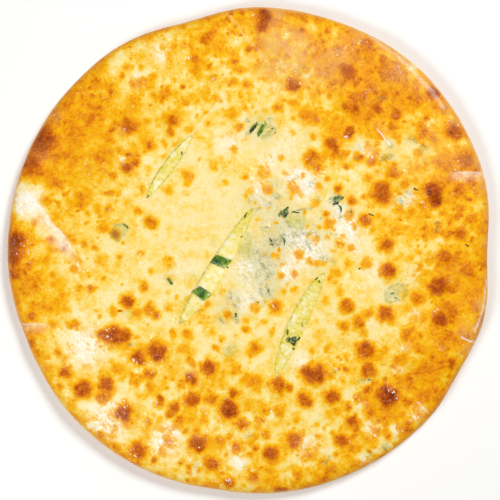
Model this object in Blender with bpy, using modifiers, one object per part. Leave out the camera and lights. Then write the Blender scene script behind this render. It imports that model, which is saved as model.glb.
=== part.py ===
"""Imeruli khachapuri: a round flat bread of thin dough, closed over a disc of cheese.

Three slashes through the top dough have opened, and the cheese has risen in them. Bits of cooked
spring onion and herb leaf lie in the slashes and on the dough. The bread lies on its flat
underside, its top side up (+Z). The origin is the middle of that flat underside. Lengths are in
metres, and angles run from +X towards +Y.
"""

import math
from typing import NamedTuple

import bmesh
import bpy
import numpy as np
from mathutils import Vector
from mathutils.bvhtree import BVHTree

# Driving dimensions of the baked bread
RADIUS = 0.1405             # of the round that the outline keeps to, apart from its flats
CENTRE_HEIGHT = 0.0170      # of the top over the middle
SHOULDER_HEIGHT = 0.0138    # of the top where it starts to roll down to the rim
WAIST_HEIGHT = 0.0058       # of the rim's widest line
TOP_ROLL = 0.0110           # how far in from the rim the top starts to roll over
BASE_ROLL = 0.0085          # how far in from the rim the flat underside ends
ROLL_POWER = 2.3            # of the rim's section: 2 is an ellipse, more is squarer

# Dough and cheese
TOP_DOUGH = 0.0024          # thickness of the dough over the cheese
BASE_DOUGH = 0.0030         # thickness of the dough under the cheese
RIM_DOUGH = 0.0085          # width of the solid dough all round the cheese
CLEARANCE = 0.0003          # between two pieces that touch
CHEESE_BELOW_TOP = 0.0007   # how far the cheese in a slash stays under the dough's surface
CHEESE_CROWN = 0.0009       # how much it bulges along the middle of a slash

# Fineness of the shapes
BREAD_STEPS = 100
BREAD_RINGS = 20
CHEESE_STEPS = 48
CHEESE_RINGS = 7
ROLL_POINTS = 4
SLASH_STATIONS = 20
SLASH_LANES = 4
GREEN_CELLS = (7, 4)

# Low, broad swells of the top, where the dough has lifted and sunk over the cheese
SWELL_HEIGHT = 0.00065
SWELL_WAVES = 9
SWELL_LENGTHS = (0.026, 0.060)
SWELL_SEED = 11

# Bits of green
GREEN_THICKNESS = 0.0005
GREEN_REST = 0.00045        # how far above what carries it a bit's lower face starts


class Flat(NamedTuple):
    """A stretch of the outline that lies inside the round, or outside it where depth is negative."""

    angle: float            # degrees
    spread: float           # degrees either side
    depth: float


class Crease(NamedTuple):
    """A fold of the dough that runs in from the rim."""

    angle: float            # degrees, where it meets the rim
    lean: float             # degrees that it turns from straight in
    length: float
    width: float
    depth: float


class Blister(NamedTuple):
    """A bubble that the oven raised in the dough."""

    x: float
    y: float
    radius: float
    height: float


class Slash(NamedTuple):
    """A cut through the top dough, open in the shape of a leaf."""

    name: str
    x: float                # of the middle between its tips
    y: float
    angle: float            # degrees
    length: float
    width: float
    bow: float              # how far the middle line bends to the left of its heading
    fullness: float         # how slowly it narrows: 0.5 is an ellipse, more is more pointed
    skew: float             # how much wider it is towards its start


class Green(NamedTuple):
    """A thin bit of cooked spring onion or herb leaf, lying on the cheese or on the dough."""

    name: str
    x: float
    y: float
    angle: float            # degrees
    length: float
    width: float
    taper: float            # how much narrower its ends are, as a share
    wave: float             # height of its ripples
    in_slash: bool
    colour: tuple


FLATS = (
    Flat(-1.0, 11.5, 0.0049),
    Flat(-29.0, 10.0, 0.0022),
    Flat(47.0, 20.0, -0.0018),
    Flat(106.0, 10.0, 0.0035),
    Flat(203.0, 10.0, 0.0012),
    Flat(262.0, 12.0, 0.0016),
)

CREASES = (
    Crease(110.5, 20.0, 0.026, 0.0070, 0.0011),
    Crease(96.0, 40.0, 0.045, 0.0080, 0.0013),
    Crease(19.0, -6.0, 0.018, 0.0070, 0.0012),
    Crease(-22.0, 24.0, 0.016, 0.0070, 0.0012),
    Crease(-34.0, 20.0, 0.017, 0.0070, 0.0010),
    Crease(198.0, 12.0, 0.024, 0.0080, 0.0010),
)

BLISTERS = (
    Blister(-0.1150, 0.0620, 0.0110, 0.0013),
    Blister(-0.0700, 0.0700, 0.0085, 0.0010),
    Blister(-0.0450, 0.0720, 0.0080, 0.0009),
    Blister(-0.0670, 0.0470, 0.0085, 0.0012),
    Blister(-0.0570, 0.0165, 0.0075, 0.0009),
    Blister(0.0554, 0.0829, 0.0095, 0.0012),
    Blister(0.0800, 0.1010, 0.0110, 0.0013),
    Blister(0.1030, 0.0347, 0.0095, 0.0013),
    Blister(0.1080, -0.0196, 0.0085, 0.0011),
    Blister(-0.0778, -0.0482, 0.0095, 0.0012),
    Blister(-0.0515, -0.0577, 0.0090, 0.0011),
    Blister(0.0773, -0.0823, 0.0100, 0.0013),
    Blister(0.0370, -0.0711, 0.0100, 0.0012),
    Blister(0.0145, -0.0765, 0.0090, 0.0010),
    Blister(-0.0722, -0.0913, 0.0095, 0.0012),
    Blister(0.0540, -0.0310, 0.0075, 0.0009),
)

SLASHES = (
    Slash("upper", -0.0467, 0.0475, 53.8, 0.0440, 0.0070, 0.0006, 0.5, 0.0),
    Slash("middle", -0.0202, -0.0085, 57.8, 0.0780, 0.0108, -0.0013, 0.65, 0.12),
    Slash("lower", 0.0271, -0.0419, 65.1, 0.0650, 0.0103, 0.0015, 0.5, -0.03),
)

ONION_GREEN = (0.08, 0.17, 0.01)
DARK_GREEN = (0.04, 0.08, 0.01)

GREENS = (
    Green("spring_onion_upper", -0.0171, -0.0059, -20.0, 0.0086, 0.0050, 0.06, 0.0002, True, ONION_GREEN),
    Green("spring_onion_lower", -0.0283, -0.0240, -35.0, 0.0080, 0.0052, 0.05, 0.0002, True, ONION_GREEN),
    Green("wilted_leaf_slash", 0.0228, -0.0506, -14.0, 0.0062, 0.0042, 0.55, 0.0003, True, DARK_GREEN),
    Green("onion_stalk_dark", 0.0010, 0.0697, 50.7, 0.0066, 0.0021, 0.25, 0.0002, False, DARK_GREEN),
    Green("onion_stalk_green", 0.0056, 0.0690, 58.9, 0.0082, 0.0023, 0.15, 0.0002, False, ONION_GREEN),
    Green("wilted_leaf_centre", 0.0183, 0.0215, 38.0, 0.0070, 0.0050, 0.50, 0.0004, False, DARK_GREEN),
    Green("wilted_leaf_east", 0.0484, 0.0288, 45.0, 0.0078, 0.0042, 0.50, 0.0004, False, DARK_GREEN),
    Green("chive_snip", -0.0463, -0.0172, -57.0, 0.0044, 0.0013, 0.10, 0.0001, False, ONION_GREEN),
)


def clear_scene():
    """Removes whatever the scene holds."""
    for obj in list(bpy.data.objects):
        bpy.data.objects.remove(obj, do_unlink=True)


def new_collection(name):
    """A collection of that name in the scene."""
    collection = bpy.data.collections.new(name)
    bpy.context.scene.collection.children.link(collection)
    return collection


def food_material(name, colour, roughness):
    """A plain Principled material for one kind of food."""
    material = bpy.data.materials.new(name)
    material.use_nodes = True
    shader = material.node_tree.nodes["Principled BSDF"]
    shader.inputs["Base Color"].default_value = (*colour, 1.0)
    shader.inputs["Roughness"].default_value = roughness
    shader.inputs["Metallic"].default_value = 0.0
    return material


def edge_radius(angle):
    """Distance from the middle to the rim, at angles in radians: the round less its flats."""
    radius = np.full_like(angle, RADIUS)
    for flat in FLATS:
        off = (np.degrees(angle) - flat.angle + 180.0) % 360.0 - 180.0
        radius -= flat.depth * np.exp(-((off / flat.spread) ** 2))
    return radius


def swell(x, y):
    """Height of the swells: a seeded sum of plane waves of different lengths and headings."""
    draw = np.random.default_rng(SWELL_SEED)
    height = np.zeros_like(x)
    for _ in range(SWELL_WAVES):
        heading = draw.uniform(0.0, 2.0 * math.pi)
        number = 2.0 * math.pi / draw.uniform(*SWELL_LENGTHS)
        phase = draw.uniform(0.0, 2.0 * math.pi)
        height += np.cos(number * (x * math.cos(heading) + y * math.sin(heading)) + phase)
    return height * SWELL_HEIGHT / math.sqrt(SWELL_WAVES)


def crease_dip(x, y):
    """How far the creases lower the top: a narrow valley along each, fading towards its inner end."""
    dip = np.zeros_like(x)
    for crease in CREASES:
        angle = math.radians(crease.angle)
        rim = float(edge_radius(np.array([angle]))[0])
        inward = angle + math.pi + math.radians(crease.lean)
        right = x - rim * math.cos(angle)
        up = y - rim * math.sin(angle)
        along = right * math.cos(inward) + up * math.sin(inward)
        across = up * math.cos(inward) - right * math.sin(inward)
        fade = np.clip(1.0 - along / crease.length, 0.0, 1.0) * (along > -crease.width)
        dip += crease.depth * fade * np.exp(-((2.0 * across / crease.width) ** 2))
    return dip


def blister_rise(x, y):
    """Height of the blisters: each a smooth cap that meets the dough without a step."""
    rise = np.zeros_like(x)
    for blister in BLISTERS:
        off = np.hypot(x - blister.x, y - blister.y) / blister.radius
        rise += blister.height * np.clip(1.0 - off**2, 0.0, 1.0) ** 2
    return rise


def top_height(x, y):
    """Height of the top surface inside the rolled rim: a low dome with its relief."""
    share = np.hypot(x, y) / edge_radius(np.arctan2(y, x))
    dome = SHOULDER_HEIGHT + (CENTRE_HEIGHT - SHOULDER_HEIGHT) * (1.0 - share**2)
    return dome + swell(x, y) + blister_rise(x, y) - crease_dip(x, y)


def rolled_edge(reach, drop):
    """Points of a rolled edge as (how far out, how far down), from its start to its end."""
    points = []
    for step in range(ROLL_POINTS + 1):
        turn = 0.5 * math.pi * step / ROLL_POINTS
        out = math.sin(turn) ** (2.0 / ROLL_POWER)
        down = 1.0 - math.cos(turn) ** (2.0 / ROLL_POWER)
        points.append((reach * out, drop * down))
    return points


def turned_disc(name, radius, top, waist, base, top_roll, base_roll, rings, steps, collection):
    """A closed solid turned about Z: flat above and below, with an edge that rolls over and under."""
    flat_top = radius - top_roll
    flat_base = radius - base_roll
    profile = [(flat_top * ring / rings, top) for ring in range(rings)]
    profile += [(flat_top + out, top - down) for out, down in rolled_edge(top_roll, top - waist)]
    under = rolled_edge(base_roll, waist - base)
    profile += [(flat_base + out, base + down) for out, down in reversed(under[:-1])]
    profile.append((0.0, base))
    mesh = bpy.data.meshes.new(name)
    line = [(index, index + 1) for index in range(len(profile) - 1)]
    mesh.from_pydata([(out, 0.0, up) for out, up in profile], line, [])
    guide = bpy.data.objects.new(name, mesh)
    collection.objects.link(guide)
    screw = guide.modifiers.new("turn", "SCREW")
    screw.axis = "Z"
    screw.steps = steps
    screw.render_steps = steps
    screw.use_merge_vertices = True
    screw.merge_threshold = 0.00001
    split = guide.modifiers.new("split", "TRIANGULATE")
    split.quad_method = "FIXED"
    return applied(guide)


def applied(obj):
    """Gives the object the mesh that its modifiers make, and takes the modifiers off."""
    graph = bpy.context.evaluated_depsgraph_get()
    mesh = bpy.data.meshes.new_from_object(obj.evaluated_get(graph))
    obj.modifiers.clear()
    obj.data = mesh
    return obj


def boolean(solid, other, operation):
    """Joins the other shape to the solid or cuts it away, and removes the other shape."""
    step = solid.modifiers.new("boolean", "BOOLEAN")
    step.operation = operation
    step.solver = "EXACT"
    step.object = other
    applied(solid)
    bpy.data.objects.remove(other, do_unlink=True)


def settle(disc, inset, top, waist):
    """Fits a turned disc to the bread: its outline's flats, and its top's form above the waist."""
    points = np.empty(3 * len(disc.data.vertices))
    disc.data.vertices.foreach_get("co", points)
    points = points.reshape(-1, 3)
    angle = np.arctan2(points[:, 1], points[:, 0])
    fit = (edge_radius(angle) - inset) / (RADIUS - inset)
    points[:, :2] *= fit[:, None]
    above = np.clip((points[:, 2] - waist) / (top - waist), 0.0, 1.0)
    points[:, 2] += above * (top_height(points[:, 0], points[:, 1]) - SHOULDER_HEIGHT)
    disc.data.vertices.foreach_set("co", points.ravel())
    disc.data.update()


def bread_form(collection):
    """The bread's whole outer form."""
    form = turned_disc(
        "bread_crust", RADIUS, SHOULDER_HEIGHT, WAIST_HEIGHT, 0.0, TOP_ROLL, BASE_ROLL,
        BREAD_RINGS, BREAD_STEPS, collection,
    )
    settle(form, 0.0, SHOULDER_HEIGHT, WAIST_HEIGHT)
    return form


def cheese_form(name, gap, collection):
    """The disc inside the dough, smaller by a gap all round."""
    inset = RIM_DOUGH + gap
    top = SHOULDER_HEIGHT - TOP_DOUGH - gap
    base = BASE_DOUGH + gap
    waist = 0.5 * (SHOULDER_HEIGHT - TOP_DOUGH + BASE_DOUGH)
    roll = top - waist
    form = turned_disc(
        name, RADIUS - inset, top, waist, base, roll, roll, CHEESE_RINGS, CHEESE_STEPS, collection
    )
    settle(form, inset, top, waist)
    return form


def slash_point(slash, share, lane, margin):
    """(x, y) at a share along the slash and a lane across it, both -1 to 1, inset by a margin."""
    leaf = (1.0 - share**2) ** slash.fullness * (1.0 - slash.skew * share)
    half_width = max(0.5 * slash.width * leaf - margin, CLEARANCE)
    along = (0.5 * slash.length - margin) * share
    across = lane * half_width + slash.bow * (1.0 - share**2)
    turn = math.radians(slash.angle)
    x = slash.x + along * math.cos(turn) - across * math.sin(turn)
    y = slash.y + along * math.sin(turn) + across * math.cos(turn)
    return x, y


def slash_block(name, slash, margin, top, collection):
    """A leaf-shaped block along a slash, from the middle of the cheese up to top(x, y, share, lane)."""
    form = bmesh.new()
    bmesh.ops.create_grid(form, x_segments=SLASH_STATIONS, y_segments=SLASH_LANES, size=1.0)
    lower = list(form.verts)
    raised = bmesh.ops.extrude_face_region(form, geom=list(form.faces))["geom"]
    upper = [item for item in raised if isinstance(item, bmesh.types.BMVert)]
    middle = 0.5 * (SHOULDER_HEIGHT - TOP_DOUGH + BASE_DOUGH)
    for vertices, level in ((lower, lambda x, y, share, lane: middle), (upper, top)):
        for vertex in vertices:
            share = math.sin(0.5 * math.pi * vertex.co.x)
            lane = vertex.co.y
            x, y = slash_point(slash, share, lane, margin)
            vertex.co = Vector((x, y, level(x, y, share, lane)))
    bmesh.ops.recalc_face_normals(form, faces=form.faces)
    mesh = bpy.data.meshes.new(name)
    form.to_mesh(mesh)
    form.free()
    block = bpy.data.objects.new(name, mesh)
    collection.objects.link(block)
    return block


def above_bread(x, y, share, lane):
    """A height clear over the bread, where a cutter ends."""
    return CENTRE_HEIGHT + TOP_ROLL


def cheese_level(x, y, share, lane):
    """Height of the cheese that shows in a slash: below the dough's top, highest along the middle."""
    height = float(top_height(np.array([x]), np.array([y]))[0])
    sink = CHEESE_CROWN * (1.0 - (1.0 - lane**2) * (1.0 - share**2))
    return height - CHEESE_BELOW_TOP - sink


def make_crust(parts, cutters):
    """The dough: the bread's whole form, hollow for the cheese and open at the slashes."""
    crust = bread_form(parts)
    boolean(crust, cheese_form("hollow", 0.0, cutters), "DIFFERENCE")
    for slash in SLASHES:
        boolean(crust, slash_block(f"cut_{slash.name}", slash, 0.0, above_bread, cutters), "DIFFERENCE")
    crust.data.materials.clear()
    crust.data.materials.append(food_material("baked_dough", (0.85, 0.50, 0.10), 0.42))
    return crust


def make_cheese(parts, cutters):
    """The cheese: a disc that fills the hollow with a clearance, and stands up into the slashes."""
    cheese = cheese_form("cheese_filling", CLEARANCE, parts)
    for slash in SLASHES:
        boolean(cheese, slash_block(f"rise_{slash.name}", slash, CLEARANCE, cheese_level, cutters), "UNION")
    cheese.data.materials.clear()
    cheese.data.materials.append(food_material("fresh_cheese", (0.93, 0.80, 0.40), 0.35))
    return cheese


def make_green(green, ground, parts):
    """A bit of green: a thin wavy sheet that follows the ground below it, split alike on both faces."""
    form = bmesh.new()
    bmesh.ops.create_grid(form, x_segments=GREEN_CELLS[0], y_segments=GREEN_CELLS[1], size=1.0)
    bmesh.ops.triangulate(form, faces=form.faces)
    turn = math.radians(green.angle)
    for vertex in form.verts:
        share, lane = vertex.co.x, vertex.co.y
        along = 0.5 * green.length * share
        across = 0.5 * green.width * lane * (1.0 - green.taper * share**2)
        x = green.x + along * math.cos(turn) - across * math.sin(turn)
        y = green.y + along * math.sin(turn) + across * math.cos(turn)
        below = ground.ray_cast(Vector((x, y, 1.0)), Vector((0.0, 0.0, -1.0)))[0].z
        ripple = green.wave * (1.0 + math.sin(4.0 * share + 2.0 * lane))
        vertex.co = Vector((x, y, below + GREEN_REST + ripple))
    mesh = bpy.data.meshes.new(green.name)
    form.to_mesh(mesh)
    form.free()
    sheet = bpy.data.objects.new(green.name, mesh)
    parts.objects.link(sheet)
    wall = sheet.modifiers.new("thickness", "SOLIDIFY")
    wall.thickness = GREEN_THICKNESS
    wall.offset = 1.0
    mesh.materials.append(food_material(green.name, green.colour, 0.35))


def surface_of(obj):
    """A search tree over the object's faces."""
    return BVHTree.FromObject(obj, bpy.context.evaluated_depsgraph_get())


def main():
    """Builds the bread in its own collection."""
    clear_scene()
    parts = new_collection("imeruli_khachapuri")
    cutters = new_collection("cutters")
    dough = surface_of(make_crust(parts, cutters))
    cheese = surface_of(make_cheese(parts, cutters))
    for green in GREENS:
        make_green(green, cheese if green.in_slash else dough, parts)
    bpy.data.collections.remove(cutters)


main()
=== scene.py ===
"""Looks of the imeruli khachapuri, laid on the frame that the CAD model gives.

The crust is one closed surface with the bread's outline, rolled rim, swells, creases and blisters.
The cheese shows through three slashes, and bits of spring onion and wilted leaf lie on top.
Browning, herbs under the dough, pale patches and dry pinkish skin, both partly painted glare, are
attributes of the crust's mesh, laid out in millimetres, and the materials break them up with noise.
Lengths are in metres unless a name says otherwise. +Z is up, +Y is away from the viewer.
"""

import math
from typing import NamedTuple

import bpy
import numpy as np
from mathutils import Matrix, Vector


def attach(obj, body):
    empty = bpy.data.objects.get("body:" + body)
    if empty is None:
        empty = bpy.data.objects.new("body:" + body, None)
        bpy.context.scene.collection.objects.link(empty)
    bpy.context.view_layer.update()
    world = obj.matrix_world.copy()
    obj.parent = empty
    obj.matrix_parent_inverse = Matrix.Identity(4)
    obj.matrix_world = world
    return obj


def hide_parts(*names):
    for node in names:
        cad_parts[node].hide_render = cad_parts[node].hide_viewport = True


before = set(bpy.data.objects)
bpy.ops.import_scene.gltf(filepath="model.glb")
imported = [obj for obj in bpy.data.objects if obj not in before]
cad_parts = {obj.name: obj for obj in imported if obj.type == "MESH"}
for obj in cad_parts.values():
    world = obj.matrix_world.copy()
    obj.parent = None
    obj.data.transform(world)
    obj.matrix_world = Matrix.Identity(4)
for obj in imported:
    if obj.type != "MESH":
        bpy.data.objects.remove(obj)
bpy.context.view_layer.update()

MM = 0.001

# The bread's form, as its CAD solids have it
RADIUS = 0.1405
CENTRE_HEIGHT = 0.0170
SHOULDER_HEIGHT = 0.0138
WAIST_HEIGHT = 0.0058
TOP_ROLL = 0.0110
BASE_ROLL = 0.0085
ROLL_POWER = 2.3
TOP_DOUGH = 0.0024
BASE_DOUGH = 0.0030
RIM_DOUGH = 0.0085
CLEARANCE = 0.0003
CHEESE_BELOW_TOP = 0.0007
CHEESE_CROWN = 0.0009
CHEESE_MIDDLE = 0.5 * (SHOULDER_HEIGHT - TOP_DOUGH + BASE_DOUGH)
SWELL_HEIGHT = 0.00065
SWELL_WAVES = 9
SWELL_LENGTHS = (0.026, 0.060)
SWELL_SEED = 11

# Room that the finer forms of the looks keep inside the CAD solids' box
OUTLINE_INSET = 0.00015
HIGHEST_DOUGH = 0.01860

# Fineness of the surfaces
TOP_CELLS = 256
ROLL_RINGS = 14
UNDER_RINGS = 8
BASE_RINGS = 5
CAVITY_STEPS = 96
CAVITY_RINGS = 8
CAVITY_ROLL_RINGS = 5
SLASH_CELLS = (110, 14)
SNIP_CELLS = (44, 30)
LEAF_CELLS = 30
SHRED_CELLS = (14, 5)


class Flat(NamedTuple):
    """A stretch of the outline that lies inside the round, or outside it where depth is negative."""

    angle: float            # degrees
    spread: float           # degrees either side
    depth: float


class Crease(NamedTuple):
    """A fold of the dough that runs in from the rim."""

    angle: float            # degrees, where it meets the rim
    lean: float             # degrees that it turns from straight in
    length: float
    width: float
    depth: float


class Slash(NamedTuple):
    """A cut through the top dough, open in the shape of a leaf."""

    x: float                # of the middle between its tips
    y: float
    angle: float            # degrees
    length: float
    width: float
    bow: float              # how far the middle line bends to the left of its heading
    fullness: float         # how slowly it narrows: 0.5 is an ellipse, more is more pointed
    skew: float             # how much wider it is towards its start


class Noise(NamedTuple):
    """Layered noise from -1 to 1, the same each time for its seed."""

    cell: float             # of its broadest layer
    seed: int
    layers: int = 3


FLATS = (
    Flat(-1.0, 11.5, 0.0049),
    Flat(-29.0, 10.0, 0.0022),
    Flat(47.0, 20.0, -0.0018),
    Flat(106.0, 10.0, 0.0035),
    Flat(203.0, 10.0, 0.0012),
    Flat(262.0, 12.0, 0.0016),
)

CREASES = (
    Crease(110.5, 20.0, 0.026, 0.0070, 0.0011),
    Crease(96.0, 40.0, 0.045, 0.0080, 0.0013),
    Crease(19.0, -6.0, 0.018, 0.0070, 0.0012),
    Crease(-22.0, 24.0, 0.016, 0.0070, 0.0012),
    Crease(-34.0, 20.0, 0.017, 0.0070, 0.0010),
    Crease(198.0, 12.0, 0.024, 0.0080, 0.0010),
)

UPPER_SLASH = Slash(-0.0467, 0.0475, 53.8, 0.0440, 0.0070, 0.0006, 0.6, 0.0)
MIDDLE_SLASH = Slash(-0.0202, -0.0085, 57.8, 0.0780, 0.0108, -0.0013, 0.65, 0.12)
LOWER_SLASH = Slash(0.0271, -0.0419, 65.1, 0.0650, 0.0103, 0.0015, 0.6, -0.03)
SLASHES = (UPPER_SLASH, MIDDLE_SLASH, LOWER_SLASH)

# Bubbles that stand well up, as (x, y, radius, height) in millimetres
RAISED_BUBBLES = (
    (-115, 62, 11, 1.3), (-70, 70, 8.5, 1.0), (-45, 72, 8, 0.9), (-67, 47, 8.5, 1.2),
    (-57, 16.5, 7.5, 0.9), (55.4, 82.9, 9.5, 1.2), (80, 101, 11, 1.3), (103, 34.7, 9.5, 1.3),
    (108, -19.6, 8.5, 1.1), (-77.8, -48.2, 9.5, 1.2), (-51.5, -57.7, 9, 1.1), (77.3, -82.3, 10, 1.3),
    (37, -71.1, 10, 1.2), (14.5, -76.5, 9, 1.0), (-72.2, -91.3, 9.5, 1.2), (54, -31, 7.5, 0.9),
)

# Browned blisters, as (x, y, radius in millimetres, browning from 0 to 1)
BLISTERS_UPPER_LEFT = (
    (-119, 62, 10.5, .88), (-126, 49, 8, .8), (-112, 76, 5, .6), (-98, 64, 5, .5), (-90, 80, 5, .52),
    (-87, 105, 6, .5), (-70, 71, 5.5, .75), (-66, 73, 3, .55), (-75, 57, 3, .5), (-71, 55, 1.2, .75),
    (-70, 47, 4, .76), (-65, 50, 3, .68), (-45, 73, 3.8, .7), (-46, 67, 2.4, .62), (-57, 60, 3, .65),
    (-49, 90, 3, .5), (-50, 53, 2, .42), (-78, 43, 2.5, .5), (-90, 40, 2, .42), (-84, 46, 2, .42),
    (-80, 33, 2, .5), (-62, 35, 2.5, .5), (-111, 39, 4, .6), (-108, 36, 2, .58), (-117, 29, 4, .5),
    (-97, 29, 5, .56), (-82, 23, 2.5, .5), (-64, 23, 2.5, .5), (-93, 16, 1.5, .56), (-84, 13, 3, .5),
    (-77, 10, 3, .82), (-73, 5, 1.2, .5), (-108, 4, 2, .55), (-57, 17, 4, .62), (-135, 5, 9, .92),
    (-137, -4, 6, .85), (-126, 8, 4, .5), (-36, 42, 3, .5), (-47, 34, 2.5, .4), (-37, 38, 2, .4),
    (-39, 116, 3, .5), (-32, 109, 3, .6), (-104, 88, 3, .55), (-120, 44, 3, .66), (-101, 50, 3, .5),
)
BLISTERS_TOP = (
    (-25, 121, 5, .6), (-8, 103, 3, .56), (-22, 98, 2, .5), (-29, 99, 2, .45), (7, 133, 5.5, .95),
    (6, 127, 4, .85), (5, 117, 4, .6), (18, 116, 2.5, .55), (30, 132, 4, .6), (24, 95, 5, .78),
    (15, 81, 3.5, .5), (31, 76.5, 5, .58), (35, 75, 3, .58), (24, 84, 2.5, .5), (35, 96, 1.5, .5),
    (38, 90, 1.5, .5), (-12, 78, 4, .45), (-7, 70, 2.5, .6), (-18, 86, 1.6, .55), (-26, 78, 1.5, .5),
    (-10, 57, 2, .45), (-22, 48, 3, .4), (-4, 42, 2, .5), (6.5, 44, 4, .48), (16, 52, 2, .4),
    (9, 35, 3.5, .5), (24, 35, 4, .45), (34, 52, 5, .65), (37, 46, 4, .56), (34, 65, 2, .5),
    (-16, 131, 3, .5), (44, 128, 3, .55), (12, 108, 2, .5),
)
BLISTERS_UPPER_RIGHT = (
    (54, 101, 5.5, .8), (65, 118, 5, .7), (48, 115, 3, .7), (80, 102, 7, .62), (67, 100, 2, .55),
    (70, 90, 2, .65), (57, 83, 7, .62), (59, 80, 3, .78), (72, 80, 3.5, .75), (82, 77, 4, .7),
    (92, 87, 6, .6), (103, 90, 5, .9), (115, 68, 6, .86), (55, 67, 4, .8), (45, 61, 4.5, .75),
    (48, 57, 3, .7), (49, 35, 2.5, .7), (57, 28, 3, .65), (36, 27, 3, .4), (67, 31, 2, .55),
    (63, 31, 1.5, .5), (74, 33, 7, .76), (61, 53, 3, .65), (68, 51, 3, .62), (78, 45, 4, .6),
    (43, 41, 1.5, .5), (66, 42, 3, .38), (42, 21, 2, .55), (44, 16, 3, .5), (55, 20, 3, .5),
    (64, 17, 4, .7), (37, 6, 2.5, .42), (50, 4, 2.5, .5), (76, 4, 5, .7), (15, 1, 1.2, .6),
    (97, 66, 4, .6), (96, 71, 3, .6), (103, 64, 4, .56), (82, 66, 3, .45), (123, 66, 3, .56),
    (122, 52, 6, .74), (109, 49, 4.5, .6), (94, 55, 3, .5), (81, 44, 4, .65), (87, 38, 3, .5),
    (103, 34, 6.5, .95), (104, 28, 4.5, .9), (118, 35, 4, .7), (99, 49, 2, .5), (97, 25, 3, .55),
    (90, 22, 3, .5), (83, 11, 3, .46), (98, 8, 2, .6), (118, 10, 4, .7), (124, 18, 4, .6),
    (131, 20, 3, .5), (130, 36, 3, .55), (109, 80, 3, .6), (88, 95, 3, .6),
)
BLISTERS_LOWER_LEFT = (
    (-128, -20, 7, .56), (-135, -12, 5, .75), (-125, -37, 4, .6), (-127, -54, 4, .75), (-106, -33, 2, .5),
    (-91, -22, 2.5, .6), (-84, -15, 1.5, .5), (-75, -4, 1.5, .5), (-85, -5, 4, .4), (-63, -1, 2, .5),
    (-70, -28, 4, .8), (-61, -20, 3, .55), (-47, -7, 3.5, .45), (-57, -12, 2, .4), (-74, -34, 1, .9),
    (-78, -34, 3, .46), (-65, -35, 3.5, .46), (-58, -33, 3.5, .6), (-54, -36, 3, .58), (-47, -32, 2.5, .4),
    (-78, -48, 6.5, .85), (-84, -47, 4, .8), (-72, -49, 4, .8), (-101, -41, 3, .5), (-64, -60, 5, .8),
    (-53, -57, 6, .84), (-44, -47, 2.5, .5), (-36, -47, 3, .55), (-38, -56, 4, .45), (-22, -46, 2, .45),
    (-14, -36, 2.5, .5), (-3, -45, 2.5, .5), (-24, -66, 5, .8), (-34, -73, 4, .84), (-58, -70, 3.5, .65),
    (-57, -77, 3, .56), (-76, -66, 4, .5), (-82, -75, 5, .84), (-96, -78, 5.5, .8), (-106, -69, 4, .7),
    (-84, -83, 4, .7), (-72, -92, 5.5, .9), (-52, -83, 2.5, .78), (-53, -86, 3, .55), (-44, -88, 3.5, .7),
    (-47, -92, 2.5, .65), (-42, -96, 3, .6), (-59, -97, 2.5, .5), (-48, -108, 3, .5), (-65, -113, 6, .75),
    (-77, -112, 3, .6), (-55, -118, 2, .74), (-66, -122, 4, .6), (-95, -97, 3, .46), (-102, -88, 3, .46),
    (-78, -101, 2, .42), (-50, -114, 3, .46), (-41, -120, 1.5, .6), (-21, -55, 2, .5), (-1, -58, 3, .46),
    (-9, -67, 2.5, .46), (-86, -106, 3, .6), (-110, -58, 2.5, .5),
)
BLISTERS_BOTTOM = (
    (-34, -85, 5, .75), (-23, -84, 4, .6), (-13, -90, 6, .88), (-10, -81, 3.5, .75), (-6, -98, 4, .7),
    (-3, -88, 2.5, .5), (4, -96, 3, .55), (1, -75, 4, .55), (-19, -108, 4, .55), (-31, -110, 5.5, .84),
    (-9, -112, 3.5, .65), (2, -112, 2, .6), (-14, -105, 2.5, .5), (8, -104, 3, .55), (11, -115, 5, .8),
    (-23, -121, 5, .8), (-36, -123, 2, .6), (-27, -96, 3, .42), (-33, -94, 3, .42), (-13, -132, 3.5, .75),
    (1, -128, 4, .6), (16, -137, 4, .8), (27, -126, 3, .6), (34, -116, 2, .6), (34, -126, 1.5, .5),
    (39, -120, 1.5, .5), (10, -124, 2, .42), (24, -107, 5, .7), (25, -96, 2, .45), (29, -104, 1.5, .5),
    (38, -106, 1.5, .5), (16, -91, 4, .5), (30, -85, 4.5, .75), (15, -75, 5, .75), (21, -77, 2.5, .7),
    (6, -136, 2.5, .5),
)
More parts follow.
